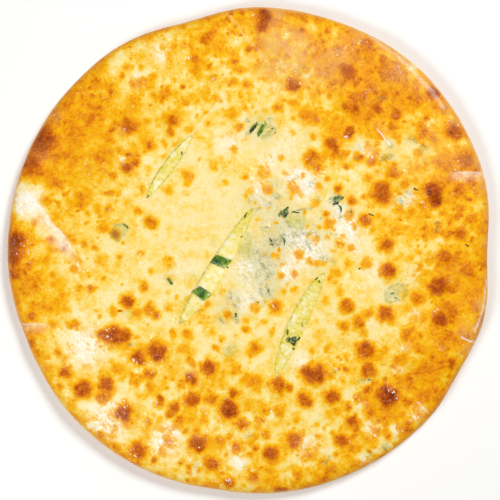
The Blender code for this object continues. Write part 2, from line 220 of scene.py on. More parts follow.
BLISTERS_LOWER_RIGHT = (
    (27, -2, 3, .5), (17, -8, 1.5, .5), (24, -13, 2.5, .5), (16, -14, 2, .4), (48, -12, 3, .5),
    (13, -32, 4, .62), (2, -32, 3, .5), (18, -23, 2, .4), (54, -31, 4, .7), (50, -23, 2.5, .45),
    (77, -11, 5, .8), (65, -7, 3, .5), (66, -35, 3, .56), (76, -36, 5, .7), (61, -40, 4, .65),
    (52, -43, 3.5, .56), (63, -46, 3, .46), (11, -46, 2.5, .5), (2, -55, 3.5, .6), (34, -57, 2.5, .4),
    (43, -55, 2, .5), (64, -56, 6, .75), (36, -70, 6.5, .85), (31, -68, 4, .8), (41, -68, 3, .6),
    (66, -68, 4.5, .8), (53, -67, 2, .6), (3, -74, 4, .5), (66, -79, 3, .65), (45, -83, 5, .8),
    (77, -82, 7, .95), (60, -83, 3, .6), (54, -88, 3, .6), (68, -90, 3, .65), (57, -97, 4.5, .78),
    (51, -108, 4.5, .75), (97, -83, 4, .6), (90, -100, 3.5, .65), (77, -105, 2.5, .56), (70, -102, 3, .55),
    (82, -111, 2, .5), (60, -104, 2, .5), (59, -112, 2, .46), (58, -121, 3, .5), (45, -124, 5, .5),
    (42, -130, 3, .6), (75, -117, 1.2, .7), (109, -3, 4.5, .7), (106, -20, 6.5, .85), (94, -27, 4, .6),
    (123, -12, 5, .6), (127, -31, 4, .6), (107, -39, 5, .85), (114, -35, 5, .6), (88, -46, 4, .65),
    (92, -43, 2, .65), (96, -48, 2.5, .6), (95, -54, 3, .5), (113, -64, 4, .7), (93, -69, 1.2, .7),
    (84, -72, 1.5, .6), (133, -40, 3, .86), (121, -47, 4, .6), (104, -72, 3, .55), (86, -93, 2.5, .5),
)
BLISTERS_AMONG_HERBS = (
    (43.4, 7.7, 1.6, .45), (38.4, 14.5, 1.6, .45), (33, -6, 2, .5), (37, -6.6, 2.3, .5), (41, -7, 1.6, .45),
    (13, -3, 2, .4), (8, -39, 2.2, .42), (42, -28, 2.6, .42), (33, 9, 2, .42), (-3, 32, 2, .42),
    (0, 34, 2, .42), (4.7, 25.2, 1, .45), (9.3, 25.2, 1, .45), (29.8, 20.8, 1.1, .5), (14.4, 15.5, 1, .6),
    (47, 12, 1.6, .42), (52, 8, 1.8, .44), (46, 0, 1.8, .42), (56, 2, 2, .44), (31, 14, 1.2, .4),
    (58, 14, 1.8, .45), (20, -18, 1.4, .4), (24, -22, 1.8, .42), (34, -18, 1.8, .42), (44, -16, 1.8, .44),
    (3, 18, 1.2, .4), (22, 29, 1.4, .42), (38, 36, 1.8, .45), (20, 44, 1.8, .42), (29, 42, 1.4, .4),
)
BLISTERS = (
    BLISTERS_UPPER_LEFT + BLISTERS_TOP + BLISTERS_UPPER_RIGHT
    + BLISTERS_LOWER_LEFT + BLISTERS_BOTTOM + BLISTERS_LOWER_RIGHT + BLISTERS_AMONG_HERBS
)

# Broad golden stretches, as (x, y, spread in millimetres, browning added); the pale ones take away
GOLDEN_STRETCHES = (
    (-97, 72, 36, .29), (-128, -18, 20, .26), (-95, 20, 24, .09), (0, 128, 42, .20), (60, 98, 24, .36),
    (84, 86, 18, .12), (104, 78, 14, .12), (124, 46, 12, .12), (60, 122, 14, .12), (113, 36, 17, .28),
    (118, -14, 20, .32), (112, -45, 17, .24), (92, -76, 24, .28), (74, 88, 14, .08), (72, 68, 12, .09),
    (106, 92, 10, .09), (50, 50, 10, .23), (90, 10, 11, .15), (110, 12, 11, .08), (50, -10, 9, .08),
    (68, -92, 18, .09), (76, 24, 22, .12), (-34, -80, 22, .13), (28, -128, 26, .07), (-32, -30, 11, .12),
    (-62, -60, 14, .13), (-122, -48, 12, .14), (52, 64, 14, .12), (46, -60, 22, .06), (-56, 78, 20, .08),
    (-18, -50, 15, .09), (-10, -70, 11, .14), (-34, -68, 10, .06), (50, -70, 9, .12), (8, -90, 10, .11),
    (-50, 92, 10, .08), (-12, 50, 11, .08), (26, -30, 12, .05), (-64, -76, 12, .07), (-110, 0, 14, .06),
    (-90, -38, 14, .06), (-42, 102, 16, .06), (50, 96, 11, .09), (-70, 50, 10, .06), (100, 50, 14, .05),
    (-30, -30, 10, .08), (28, -40, 14, .04), (-51, 113, 9, -.16), (-127, 27, 9, -.34),
    (94, 108, 10, -.20), (-64, 96, 8, -.12), (-94, -56, 18, -.10), (-84, -96, 16, -.12),
    (28, 60, 12, -.06), (92, 60, 10, -.10), (86, -52, 8, -.12), (132, -55, 7, -.3), (-60, -92, 14, -.06),
    (-112, -30, 9, -.06), (10, -30, 8, -.04), (10, -112, 8, -.04), (70, -12, 10, -.10),
    (70, -42, 14, -.06), (-68, -50, 8, -.05), (-50, -110, 9, -.07), (30, -109, 9, -.10),
)
CENTRE_BROWNING = 0.04
RIM_BROWNING = 0.17
EDGE_BROWNING = 0.2
MOST_GOLDEN = 0.5

# Where the golden skin is smooth, with few small blisters, as (x, y, spread in millimetres, how smooth)
SMOOTH_STRETCHES = (
    (-98, 60, 34, .85), (-112, -16, 22, .7), (0, 118, 24, .4), (122, -40, 18, .6), (96, -72, 18, .5),
)

# Herbs that show grey-green through the thin dough, as (x, y, spread in millimetres, strength)
HERBS_UNDER_DOUGH = (
    (6, 70, 8, .75), (8, -12, 12, .85), (14, 8, 10, .75), (24, 18, 6, .75), (30, 36, 7, .5),
    (48, 24, 8, .5), (60, 56, 7, .5), (90, 64, 4, .6), (98, 57, 3.5, .6), (76, 53, 5, .6),
    (85, 28, 4, .6), (105, 13, 4, .5), (74, 86, 3.5, .5), (79, 62, 4, .5), (27, 103, 5, .35),
    (81, -24, 7, .3), (-12, -57, 5, .5), (-9, -27, 4, .55), (-16, -40, 4, .45), (-5, 4, 5, .6),
    (10, -23, 4, .6), (-75, 11, 4.5, .5), (-1, -105, 4, .5), (-33, -103, 4, .45), (-30, -123, 4, .5),
    (30, -111, 4, .5), (67, -115, 3.5, .5), (76, -113, 3.5, .45), (43, -119, 4, .4), (66, -73, 3, .45),
    (47, -68, 3, .4), (-68, -53, 3, .5), (36, 10, 8, .45), (40, -6, 8, .4), (-46, -15, 4, .5),
    (12, 38, 4, .4), (34, 66, 5, .35), (0, 30, 8, .3), (10, 27, 10, .7), (89, 33, 5, .4), (2, -4, 10, .5),
    (-12, -32, 7, .5), (22, 8, 9, .5), (32, 4, 7, .5),
)

# Pale milky patches of the dough, partly painted glare, as (x, y, spread in millimetres, strength)
MILKY_AND_GLARE_PATCHES = (
    (-128, 26, 7, .9), (-51, 113, 6, .5), (-64, 96, 6, .5), (-94, -54, 13, .6), (-82, -96, 14, .65),
    (-46, -102, 4, .7), (-99, -33, 5, .2), (-99, -7, 5, .4), (24, 42, 5, .5), (20, 62, 10, .3),
    (115, 43, 4, .6), (88, -54, 4, .6), (82, -67, 4, .5), (93, -36, 4, .5), (93, -93, 4, .5),
    (64, -87, 3, .5), (83, -102, 4, .5), (64, -119, 4, .5), (125, -57, 6, .8), (-7, -121, 4, .5),
    (88, 110, 8, .7), (0, -10, 20, .2), (-6, 8, 4, .4), (100, 70, 6, .3), (29, 37, 9, .65),
    (48, 24, 7, .4), (54, 13, 8, .6), (36, 2, 8, .5), (20, -13, 5, .5), (60, 2, 6, .35),
    (-4, -10, 6, .35), (-38, -9, 8, .3), (2, -22, 8, .15), (-6, 66, 7, .3), (6, 34, 9, .4),
    (10, 50, 8, .35), (90, 30, 5, .5), (70, -12, 8, .4), (66, 58, 5, .5), (80, 28, 6, .3),
    (97, -90, 5, .4), (-73, 51, 3, .7), (68, -100, 6, .5), (28, -62, 5, .5), (-4, -30, 7, .3),
    (14, 92, 5, .3), (-14, 60, 6, .4), (92, -12, 6, .3), (70, -42, 12, .25), (-50, -109, 10, .55),
    (-10, -112, 8, .3), (30, -110, 9, .5), (24, 8, 9, .4), (26, -6, 8, .4),
)

# Dry skin with a pinkish cast, partly painted pinkish glare, as (x, y, spread in millimetres, strength)
PINKISH_SKIN_AND_GLARE_PATCHES = (
    (13, 134, 4, .9), (24, 119, 6, .8), (80, 102, 6, .6), (103, 93, 4, .8), (116, 72, 4, .7),
    (122, 52, 5, .6), (130, 50, 4, .8), (132, 36, 4, .8), (-120, 56, 6, .5), (-112, 77, 4, .5),
    (48, 112, 3, .6), (62, 121, 4, .6), (68, 56, 4, .4), (104, 64, 4, .4), (-34, -69, 3, .7),
    (1, -132, 3, .6), (-31, -107, 3, .5), (131, -30, 4, .9), (129, -42, 4, .8), (121, -45, 4, .4),
    (-74, 68, 3, .5), (88, 100, 6, .5), (98, 95, 6, .5), (76, 115, 6, .5), (-136, 2, 4, .4),
    (14, 118, 10, 1.0), (26, 107, 12, .9), (42, 100, 9, .6), (8, 102, 7, .5), (92, 50, 9, .35),
    (108, 52, 8, .35), (50, 112, 9, .5), (112, 82, 5, .8), (126, 62, 4, .7), (60, 126, 4, .5),
    (134, 20, 3, .6), (134, 5, 3, .5), (135, -12, 3, .5),
)

# Yellow-green onion in or under the dough: soft tints as (x, y, spread in millimetres, strength),
# and whole slices as (x, y, half length, half width in millimetres, angle in degrees, outline, fill)
GREEN_TINTS = (
    (6, 70, 6, .55), (-22, 5, 2.4, .7), (-33, -14, 2.4, .7), (-4, 4, 3.6, 1.0), (12, 38, 3, .4),
    (-2, -12, 5, .35), (3, 103, 3, .2), (27, 103, 4, .3), (17, -64, 4, .4), (-36, -28, 4, .3),
    (-4, -2, 3, .5),
)
ONION_SLICES = (
    (81.5, -24, 6.2, 4.4, 25, .8, .2), (25.0, 17.4, 6.2, 4.2, -30, .1, .8),
    (-3.8, 4.4, 6.0, 3.0, 66, .1, .9), (-12, -57, 4, 2.2, 15, .6, .3), (-70, -36, 3, 2.5, 0, .4, .2),
    (-75, 11, 4.8, 3.4, 40, .8, .3),
)

# Strands of herb seen through the skin, as (x, y, angle in degrees, length, width in millimetres, strength)
STRANDS = (
    (17.5, 7, -70, 6.6, 2.2, .7), (11, 4.5, -68, 4.2, 1.6, .9), (27, 8.2, -42, 8, 2.0, .7),
    (32, 3, -45, 8, 2.2, .6), (28, 23, 10, 8, 1.6, .7), (50, 22, -70, 8, 2.4, .6),
    (47, 30, 20, 8, 3.0, .8), (-9, -36.5, -70, 4.4, 1.6, .9), (-17, -39.5, -58, 4.6, 1.3, .8),
    (9, -22, -63, 5.6, 1.8, .7), (11.5, -26, -50, 5, 1.6, .7), (6, -2, -30, 9, 3, .4),
    (8, -10, -60, 10, 3, .45), (40, -4, -30, 7, 2.6, .55), (37, 9, -40, 6, 2.0, .55),
    (1, -27, -50, 5, 1.8, .6), (90, 64, 20, 4, 2.0, .6), (98, 57, 60, 3, 1.6, .6),
    (76, 53, 20, 7, 3.0, .7), (85, 28, 80, 3, 1.6, .6), (105, 13, 30, 3, 1.6, .6),
    (74.5, 86, -30, 3.6, 2.0, .6), (78, 61, -50, 7, 2.0, .6), (-1, -105, 20, 3.4, 1.5, .6),
    (67, -115, -60, 4.6, 1.4, .7), (76, -113, -45, 5.6, 1.4, .7), (43, -119, 55, 7, 1.4, .7),
    (81, -24.6, 30, 5, 2.0, .6), (67, -73, 20, 2.6, 1.5, .8), (47, -68, -30, 2.4, 1.6, .5),
    (-68.5, -53, 10, 3, 1.6, .6), (12.5, 69, 0, 3, 2.4, .7), (34, 24, 50, 3.6, 1.6, .6),
    (56, 22, -40, 3, 1.4, .6), (34, 38, 40, 6, 2.6, .5), (23, 41, 10, 7, 2.6, .4),
    (-1, 68, 50, 8, 2.4, .6), (9, 66, 40, 7, 3.0, .6), (14, 31, -30, 6, 3, .5), (-31, -34, 0, 4, 1.6, .4),
)

# Folds with a pale, shining line, as (start x, start y, end x, end y, width in millimetres, how bright
# the line is, how pale the dough on its left is)
PALE_FOLDS = (
    (-103, 4, -127, 34, 1.4, .2, .9), (-127, 34, -139, 33, 1.4, .2, .8),
    (-118, -41.5, -134, -41.5, 0.8, .5, .4), (133, 44.5, 117, 44.5, 0.8, .5, .5),
    (119, -49, 127, -52, 0.8, .9, .1), (94, -86, 100, -92, 0.7, .5, .0), (71, 69, 78, 60, 0.8, .9, .1),
    (17, -10, 23, -17, 0.7, .6, .2), (10, 106, -3, 122, 0.9, .16, .0), (-3, 122, -14, 135, 0.9, .16, .0),
    (-34, 66, -17, 87, 1.0, .3, .0), (68, 122, 84, 110, 2.0, .3, .0), (84, 110, 97, 97, 2.0, .35, .0),
    (97, 97, 109, 82, 2.0, .3, .0), (134, -16, 132, -32, 1.2, .55, .0),
    (132, -32, 127, -46, 1.2, .55, .0),
)

# Clusters of small bright glints on the oily skin, as (x, y, spread in millimetres, strength)
GLINT_CLUSTERS = (
    (-112, 76, 2, 1), (-73, 69.5, 1.6, 1), (-73, 54, 2.4, 1), (-62, 35, 1.5, .8), (-82, 23, 1.5, .8),
    (-36, 42, 1.4, .9), (-108, 36.5, 2, .9), (28, 94.5, 1.4, .9), (25, 91, 1.6, 1), (-35, 109, 2, .9),
    (-22, 98, 1.6, .9), (15, 81, 1.6, 1), (-41, 98, 2, .7), (-62, 118, 2, .8), (-71, 112, 2.5, .8),
    (117, 72, 1.8, 1), (112, 73, 1.6, .9), (116, 32, 1.6, 1), (53, 65, 2, .8), (68, 56, 3.6, .9),
    (52, 47, 1.6, .9), (64, 17, 2, 1), (-68, -23, 1.6, .9), (-41, -52.5, 2, .9), (-70, -90, 2, .9),
    (-51, -61, 2, 1), (-53, -86, 1.8, 1), (-77, -55, 3, .8), (-66, -63, 3, .8), (-68, -117, 4, .9),
    (-95, -12, 2, .8), (-91, -20, 2, .8), (-76, -16, 1.6, .8), (-63, -7, 2, .8), (-45, -4, 3, .8),
    (-31, -10, 2.4, .8), (-42, -16, 4, .9), (-16, -86, 2, 1), (-31, -110, 2.4, 1), (12, -92, 2, .9),
    (13, -32, 1.6, 1), (103, -35, 2, 1), (107, -34, 1.6, .9), (24, -62, 3, .8), (80, -80, 4, .8),
    (70, -102, 4, .8), (58, -85, 4, .6), (54, 12, 6, .6), (38, 0, 5, .5), (10, -24, 4, .5),
    (-82, -98, 8, .6), (-94, -56, 7, .4), (-50, -106, 6, .7), (93, -93, 4, .8), (122, -35, 3, .7),
    (0, 132, 3, .7), (16, 133, 3, .7), (20, 104, 9, .35), (-8, 122, 5, .5), (62, 120, 4, .7),
    (-128, 24, 5, .5), (-130, 0, 6, .5), (34, -110, 5, .6), (-3, -98, 4, .5), (46, -64, 6, .4),
    (-58, -64, 6, .5), (-36, -74, 5, .6), (-74, -86, 7, .5), (-16, -128, 6, .7), (-36, -118, 6, .7),
    (8, -98, 5, .6), (-24, -94, 5, .6), (-100, -44, 6, .5), (-82, -46, 6, .5), (-52, -34, 5, .4),
    (60, -20, 5, .5), (30, 12, 6, .5), (46, 8, 6, .6), (16, -8, 5, .5), (12, 44, 6, .4), (30, 46, 6, .4),
    (74, 44, 5, .5), (92, 60, 5, .5), (104, 88, 3, .7), (84, 104, 4, .6), (96, 30, 5, .5),
    (118, 52, 4, .6),
)


class Bit(NamedTuple):
    """A bit of green, in millimetres and degrees."""

    x: float
    y: float
    angle: float
    length: float
    width: float
    taper: float


ONION_UPPER = Bit(-17.4, -5.9, -19.0, 9.6, 5.4, 0.02)
ONION_LOWER = Bit(-28.2, -24.0, -36.0, 8.8, 5.6, 0.05)
STALK_DARK = Bit(1.0, 69.7, 50.7, 6.6, 2.1, 0.25)
STALK_GREEN = Bit(5.6, 69.0, 58.9, 8.2, 2.3, 0.15)
CHIVE = Bit(-46.3, -17.2, -57.0, 4.4, 1.3, 0.10)
LEAF_SLASH = Bit(22.8, -50.6, -14.0, 6.6, 4.6, 0.0)
LEAF_CENTRE = Bit(18.3, 21.5, 38.0, 7.8, 5.6, 0.0)
LEAF_EAST = Bit(48.4, 28.8, 45.0, 8.4, 5.0, 0.0)

# Shreds of herb in the skin, as (x, y, angle in degrees, length, width in millimetres, light from 0 to 1)
SHREDS = (
    (10.8, 6.2, -70, 2.8, .9, .25), (11.4, 3.4, -30, 1.8, .8, .3), (18, 5.6, -66, 4.6, 1.3, .5),
    (-9, -36.3, -70, 2.6, .8, .3), (9.4, -22.6, -60, 2.6, .6, .45), (93, 35, -34, 3.0, .8, .0),
    (67.5, 20.5, -40, 3.2, .8, .0), (122, 3, -45, 2.6, .7, .0), (49.9, 24.0, -66, 5.0, 1.1, .4),
    (24.6, 21.8, 10, 4.4, .9, .25), (79.5, -24, 35, 2.4, 1.0, .62), (81.8, -26.6, -20, 1.8, .8, .62),
    (61, -10, 0, 1.4, 1.0, .2), (-71.2, 14.0, -60, 3.8, 1.3, .6), (11.6, 69, 0, 1.6, .8, .5),
    (56, 22, -40, 2.0, .6, .45), (66.5, -73, 20, 2.0, .8, .5), (13.2, 66.8, 60, 1.6, .6, .45),
    (3.4, -29, -40, 1.6, .6, .5),
)
UPPER_SLASH_SHREDS = (
    (-39.6, 55.4, 60, 2.0, .9, .2), (-58.6, 31.0, 50, 1.8, .7, .3),
)
MIDDLE_SLASH_SHREDS = (
    (-14.0, -9.2, -60, 1.8, .9, .2), (-3.4, 20.0, 60, 4.0, .9, .35), (-5.6, 8.0, 60, 2.0, .6, .5),
)
LOWER_SLASH_SHREDS = (
    (24.4, -56.0, -60, 3.6, .9, .25), (36.6, -15.8, 30, 2.2, 1.1, .3), (38.2, -17.4, -50, 1.8, .9, .4),
    (20.2, -46, -70, 3.4, 1.2, .5), (28.6, -42, -60, 2, .7, .6), (26.4, -49.6, 40, 2.6, 1.1, .15),
)

# Cheese in each slash: how oily it is at shares along the slash, from its lower end to its upper
OIL_ALONG_SLASHES = (
    ((-1.0, .95), (-.7, .7), (-.2, .45), (.3, .55), (.6, .35), (1.0, .1)),
    ((-1.0, .8), (-.7, .5), (-.5, .12), (.05, .0), (.3, .15), (.55, .45), (.85, .8), (1.0, 1.0)),
    ((-1.0, .55), (-.6, .6), (-.1, .75), (.3, .55), (.7, .65), (1.0, .95)),
)

# How dark the painted olive shadow on the cheese is along each slash's left and right edge
EDGE_SHADOW_AT_SIDES = ((0.9, 0.5), (0.6, 0.1), (0.35, 0.15))

# Noise that moves round things' edges in and out: coarse and fine, with how far each reaches
RAGGED_X = (Noise(6 * MM, 21), Noise(2.4 * MM, 25))
RAGGED_Y = (Noise(6 * MM, 31), Noise(2.4 * MM, 35))
RAGGED_REACH = (1.6 * MM, 0.8 * MM)

# Relief of the dough that is finer than the solid's
HUMPS = Noise(9 * MM, 41)
HUMP_HEIGHT = 0.16 * MM
PIMPLES = Noise(3.2 * MM, 51)
PIMPLE_HEIGHT = 0.08 * MM
WRINKLES = Noise(7 * MM, 61)
WRINKLE_HEIGHT = 0.14 * MM
CAP_HEIGHT = (0.1, 0.07)    # of a blister's cap: millimetres, and more for each millimetre of radius
CAP_SPAN = (0.2, 1.5)       # where the cap starts to fall and where it ends, in radii
CALM_RIM = (0.93, 1.0)      # the relief fades out over this share of the way to the rim
OUTLINE_WAVES = Noise(12 * MM, 71)
OUTLINE_WAVE = 0.3 * MM

# The slashes' edges, and the cheese that shows in them
TORN_EDGE = Noise(2.6 * MM, 81)
TEAR = 0.2 * MM
EDGES_APART = 20 * MM       # keeps the noise of a slash's two edges apart
SLASH_LIP = 0.00030         # how far the dough sinks at a slash's edge
LIP_WIDTH = 1.3 * MM
LIP_ANGLE = math.radians(50.0)
SLASH_EDGE_WIDTH = 1.6 * MM
CHEESE_TOUCH = -0.00005     # the cheese in a slash just touches the dough
CHEESE_LIFT = 0.15 * MM     # above the height of the solid's crown
EDGE_SINK = 0.2             # share of the crown that the cheese sinks at its edges
CURDS = Noise(2.2 * MM, 91)
CURD_HEIGHT = 0.14 * MM
LUMPS = Noise(3.0 * MM, 97)
LUMP_HEIGHT = 0.35 * MM
PITS = Noise(1.5 * MM, 95)
PIT_DEPTH = 0.25 * MM
EDGE_SHADOW_PATCHES = Noise(5 * MM, 99)

# How the browning is broken up
CLOUDS = Noise(7 * MM, 101, 4)
CLOUD_LEAST = 0.13
CLOUD_MOST = 0.22
MOST_CLOUDED = 0.56
HOLES = Noise(6.5 * MM, 121)
HOLE_DEPTH = 0.22
LACE = Noise(2.6 * MM, 111)
HALO_SPAN = (0.7, 1.7)      # in radii of the blister
HALO_DARKEST = 0.46
CORE_SPAN = (0.35, 1.2)

# Small blisters and strands of herb, strewn by seeds
SCATTER_COUNT = 2600
SCATTER_SEED = 7
SCATTER_REACH = 0.97        # of the round's radius
SCATTER_DARKEST = 0.66
STRAND_SEED = 17
STREWN_STRANDS = 110
STRAND_ANGLES = (-90.0, 10.0)
STRAND_LENGTHS = (1.5, 6.0)
STRAND_WIDTHS = (1.0, 2.2)
STRAND_STRENGTHS = (0.2, 0.8)

# Heights at which the underside's flour and the side's pale dough fade in and out
UNDERSIDE_FADE = (0.4 * MM, 4.5 * MM)
SIDE_FROM = (0.5 * MM, 4.0 * MM)
SIDE_TO = (8.0 * MM, 12.0 * MM)

# Cut faces lie inside this share of the rim, this far below the top and this far above the base
CUT_FACE_RIM = 0.93
CUT_FACE_BELOW = 0.9 * MM
CUT_FACE_ABOVE = 0.5 * MM

INNER_LIFT = 0.45 * MM      # of the smaller snip on each snip of spring onion
LEAF_THICKNESS = 0.25 * MM
SHRED_THICKNESS = 0.2 * MM

# The studio and the view
FLOOR_WIDTH = 6.0
LIGHT_COLOUR = (1.0, 0.995, 0.985)
SURROUND_STRENGTH = 0.23
FRAME_WIDTH = 0.284         # of the view at the height of the bread's shoulder
LENS = 85.0
SENSOR = 36.0
VIEW_CENTRE = (-0.0010, 0.0005)


def srgb(red, green, blue):
    """The linear colour of a display colour given from 0 to 255."""
    share = np.array((red, green, blue)) / 255.0
    linear = np.where(share <= 0.04045, share / 12.92, ((share + 0.055) / 1.055) ** 2.4)
    return (*linear.tolist(), 1.0)


BAKE_STOPS = (
    (0.00, srgb(250, 230, 162)), (0.16, srgb(250, 214, 94)), (0.34, srgb(248, 187, 4)),
    (0.50, srgb(240, 155, 0)), (0.68, srgb(208, 108, 0)), (0.85, srgb(172, 74, 2)),
    (1.00, srgb(128, 47, 4)),
)
BASE_STOPS = (
    (0.30, srgb(246, 214, 150)), (0.50, srgb(236, 182, 92)), (0.62, srgb(206, 130, 50)),
    (0.75, srgb(150, 82, 30)),
)
ONION_STOPS = (
    (0.0, srgb(22, 60, 0)), (0.35, srgb(66, 112, 2)), (0.7, srgb(146, 176, 44)),
    (1.0, srgb(226, 236, 160)),
)
WILTED_STOPS = (
    (0.0, srgb(20, 40, 2)), (0.35, srgb(56, 82, 14)), (0.7, srgb(130, 146, 70)),
    (1.0, srgb(208, 210, 160)),
)
MILKY_AND_GLARE_COLOUR = srgb(255, 248, 226)
HERB_PALE = srgb(208, 202, 160)
HERB_DEEP = srgb(104, 118, 78)
ONION_TINT = srgb(206, 196, 52)
RING_GREEN = srgb(150, 156, 84)
SHEEN = srgb(255, 246, 206)
PINKISH_SKIN_AND_GLARE_COLOUR = srgb(238, 184, 114)
FOLD_GLINT = srgb(255, 254, 246)
SIDE_PALE = srgb(248, 205, 130)
SIDE_GOLD = srgb(233, 160, 62)
FLOUR_COLOUR = srgb(245, 228, 196)
LIP_COLOUR = srgb(244, 222, 128)
OLIVE_EDGE = srgb(170, 160, 50)
CHEESE_CREAM = srgb(254, 241, 188)
CHEESE_YELLOW = srgb(248, 226, 104)
OIL_YELLOW = srgb(240, 216, 50)
OIL_GREEN = srgb(186, 176, 30)
EDGE_SHADOW_OLIVE = srgb(112, 124, 20)
CURD_WHITE = srgb(255, 250, 226)
FLOOR_COLOUR = srgb(252, 252, 252)


def smooth_step(value, low, high):
    """Rises smoothly from 0 at low to 1 at high."""
    share = np.clip((value - low) / (high - low), 0.0, 1.0)
    return share * share * (3.0 - 2.0 * share)


def lattice_noise(x, y, cell, seed):
    """Random heights from -1 to 1 on a square lattice, blended smoothly between its corners."""
    count = int(0.32 / cell) + 6
    heights = np.random.default_rng(seed).uniform(-1.0, 1.0, (count, count))
    across = x / cell + 0.5 * count
    along = y / cell + 0.5 * count
    column = np.clip(np.floor(across).astype(int), 0, count - 2)
    row = np.clip(np.floor(along).astype(int), 0, count - 2)
    right = smooth_step(across - column, 0.0, 1.0)
    up = smooth_step(along - row, 0.0, 1.0)
    near = heights[column, row] * (1.0 - right) + heights[column + 1, row] * right
    far = heights[column, row + 1] * (1.0 - right) + heights[column + 1, row + 1] * right
    return near * (1.0 - up) + far * up


def rough_noise(x, y, noise):
    """A sum of lattice noises, each with half the cell and half the height of the one before."""
    total = np.zeros_like(x)
    for layer in range(noise.layers):
        total += lattice_noise(x, y, noise.cell / 2**layer, noise.seed + layer) / 2**layer
    return total / (2.0 - 2.0 ** (1 - noise.layers))


def turned(right, up, turn):
    """Offsets along a heading and to the left of it, from offsets to the right and up."""
    along = right * math.cos(turn) + up * math.sin(turn)
    across = up * math.cos(turn) - right * math.sin(turn)
    return along, across


def placed(along, across, x, y, turn):
    """The plan of offsets along a heading and to the left of it, from a place: the reverse of turned."""
    plan_x = x + along * math.cos(turn) - across * math.sin(turn)
    plan_y = y + along * math.sin(turn) + across * math.cos(turn)
    return plan_x, plan_y


def edge_radius(angle):
    """Distance from the middle to the rim, at angles in radians: the round less its flats."""
    radius = np.full_like(angle, RADIUS)
    for flat in FLATS:
        off = (np.degrees(angle) - flat.angle + 180.0) % 360.0 - 180.0
        radius -= flat.depth * np.exp(-((off / flat.spread) ** 2))
    return radius


def swell(x, y):
    """Height of the swells: a seeded sum of plane waves of different lengths and headings."""
    draw = np.random.default_rng(SWELL_SEED)
    height = np.zeros_like(x)
    for _ in range(SWELL_WAVES):
        heading = draw.uniform(0.0, 2.0 * math.pi)
        number = 2.0 * math.pi / draw.uniform(*SWELL_LENGTHS)
        phase = draw.uniform(0.0, 2.0 * math.pi)
        height += np.cos(number * (x * math.cos(heading) + y * math.sin(heading)) + phase)
    return height * SWELL_HEIGHT / math.sqrt(SWELL_WAVES)


def rim_share(x, y):
    """Distance from the middle, as a share of the distance to the rim."""
    return np.hypot(x, y) / edge_radius(np.arctan2(y, x))


def crease_dip(x, y):
    """How far the creases lower the top: a narrow valley along each, fading towards its inner end."""
    dip = np.zeros_like(x)
    for crease in CREASES:
        angle = math.radians(crease.angle)
        rim = float(edge_radius(np.array([angle]))[0])
        inward = angle + math.pi + math.radians(crease.lean)
        along, across = turned(x - rim * math.cos(angle), y - rim * math.sin(angle), inward)
        fade = np.clip(1.0 - along / crease.length, 0.0, 1.0) * (along > -crease.width)
        dip += crease.depth * fade * np.exp(-((2.0 * across / crease.width) ** 2))
    return dip


def bubble_rise(x, y):
    """Height of the raised bubbles: each a smooth cap that meets the dough without a step."""
    rise = np.zeros_like(x)
    for centre_x, centre_y, radius, height in RAISED_BUBBLES:
        off = np.hypot(x - centre_x * MM, y - centre_y * MM) / (radius * MM)
        rise += height * MM * np.clip(1.0 - off**2, 0.0, 1.0) ** 2
    return rise


def broad_height(x, y):
    """Height of the top as the CAD solid has it: a low dome with swells, bubbles and creases."""
    dome = SHOULDER_HEIGHT + (CENTRE_HEIGHT - SHOULDER_HEIGHT) * (1.0 - rim_share(x, y) ** 2)
    return dome + swell(x, y) + bubble_rise(x, y) - crease_dip(x, y)


def spread_sum(x, y, patches):
    """Sum of soft round patches, each (x, y, spread in millimetres, strength)."""
    total = np.zeros_like(x)
    for centre_x, centre_y, spread, strength in patches:
        off = ((x - centre_x * MM) ** 2 + (y - centre_y * MM) ** 2) / (spread * MM) ** 2
        total += strength * np.exp(-off)
    return total


def ragged(x, y):
    """The points moved by coarse and fine noise, up to two millimetres, to make round things ragged."""
    coarse, fine = RAGGED_REACH
    moved_x = x + coarse * rough_noise(x, y, RAGGED_X[0]) + fine * rough_noise(x, y, RAGGED_X[1])
    moved_y = y + coarse * rough_noise(x, y, RAGGED_Y[0]) + fine * rough_noise(x, y, RAGGED_Y[1])
    return moved_x, moved_y


def radii_off(x, y, centre_x, centre_y, radius):
    """Distance of each point from a blister's middle, in the blister's radii."""
    return np.hypot(x - centre_x * MM, y - centre_y * MM) / (radius * MM)


def fine_relief(x, y):
    """Relief finer than the CAD solid's: humps, pimples, soft wrinkles, and a low cap on each blister.

    A cap falls off smoothly from the blister's middle, and is higher on a wide, dark blister."""
    relief = HUMP_HEIGHT * rough_noise(x, y, HUMPS) + PIMPLE_HEIGHT * rough_noise(x, y, PIMPLES)
    relief += WRINKLE_HEIGHT * (0.3 - np.abs(rough_noise(x, y, WRINKLES)))
    caps = np.zeros_like(x)
    moved_x, moved_y = ragged(x, y)
    least, growth = CAP_HEIGHT
    for centre_x, centre_y, radius, dark in BLISTERS:
        cap = 1.0 - smooth_step(radii_off(moved_x, moved_y, centre_x, centre_y, radius), *CAP_SPAN)
        caps = np.maximum(caps, cap * (growth * radius + least) * MM * (0.4 + dark))
    return relief + caps


def slash_place(slash, x, y):
    """Where a point is in a slash: share along it, and lane across it, 1 at its edge."""
    along, across = turned(x - slash.x, y - slash.y, math.radians(slash.angle))
    share = along / (0.5 * slash.length)
    inside = np.clip(1.0 - share**2, 0.0, 1.0)
    half_width = 0.5 * slash.width * inside**slash.fullness * (1.0 - slash.skew * share)
    return share, (across - slash.bow * inside) / np.maximum(half_width, CLEARANCE)


def slash_distance(x, y):
    """Rough distance to the nearest slash's edge line, in metres, negative inside it."""
    nearest = np.full_like(x, 1.0)
    for slash in SLASHES:
        share, lane = slash_place(slash, x, y)
        inside = np.clip(1.0 - share**2, 0.0, 1.0)
        half_width = np.maximum(0.5 * slash.width * inside**slash.fullness, CLEARANCE)
        beside = (np.abs(lane) - 1.0) * half_width
        beyond = np.maximum(np.abs(share) - 1.0, 0.0) * 0.5 * slash.length
        nearest = np.minimum(nearest, np.hypot(np.maximum(beside, 0.0), beyond) + np.minimum(beside, 0.0))
    return nearest


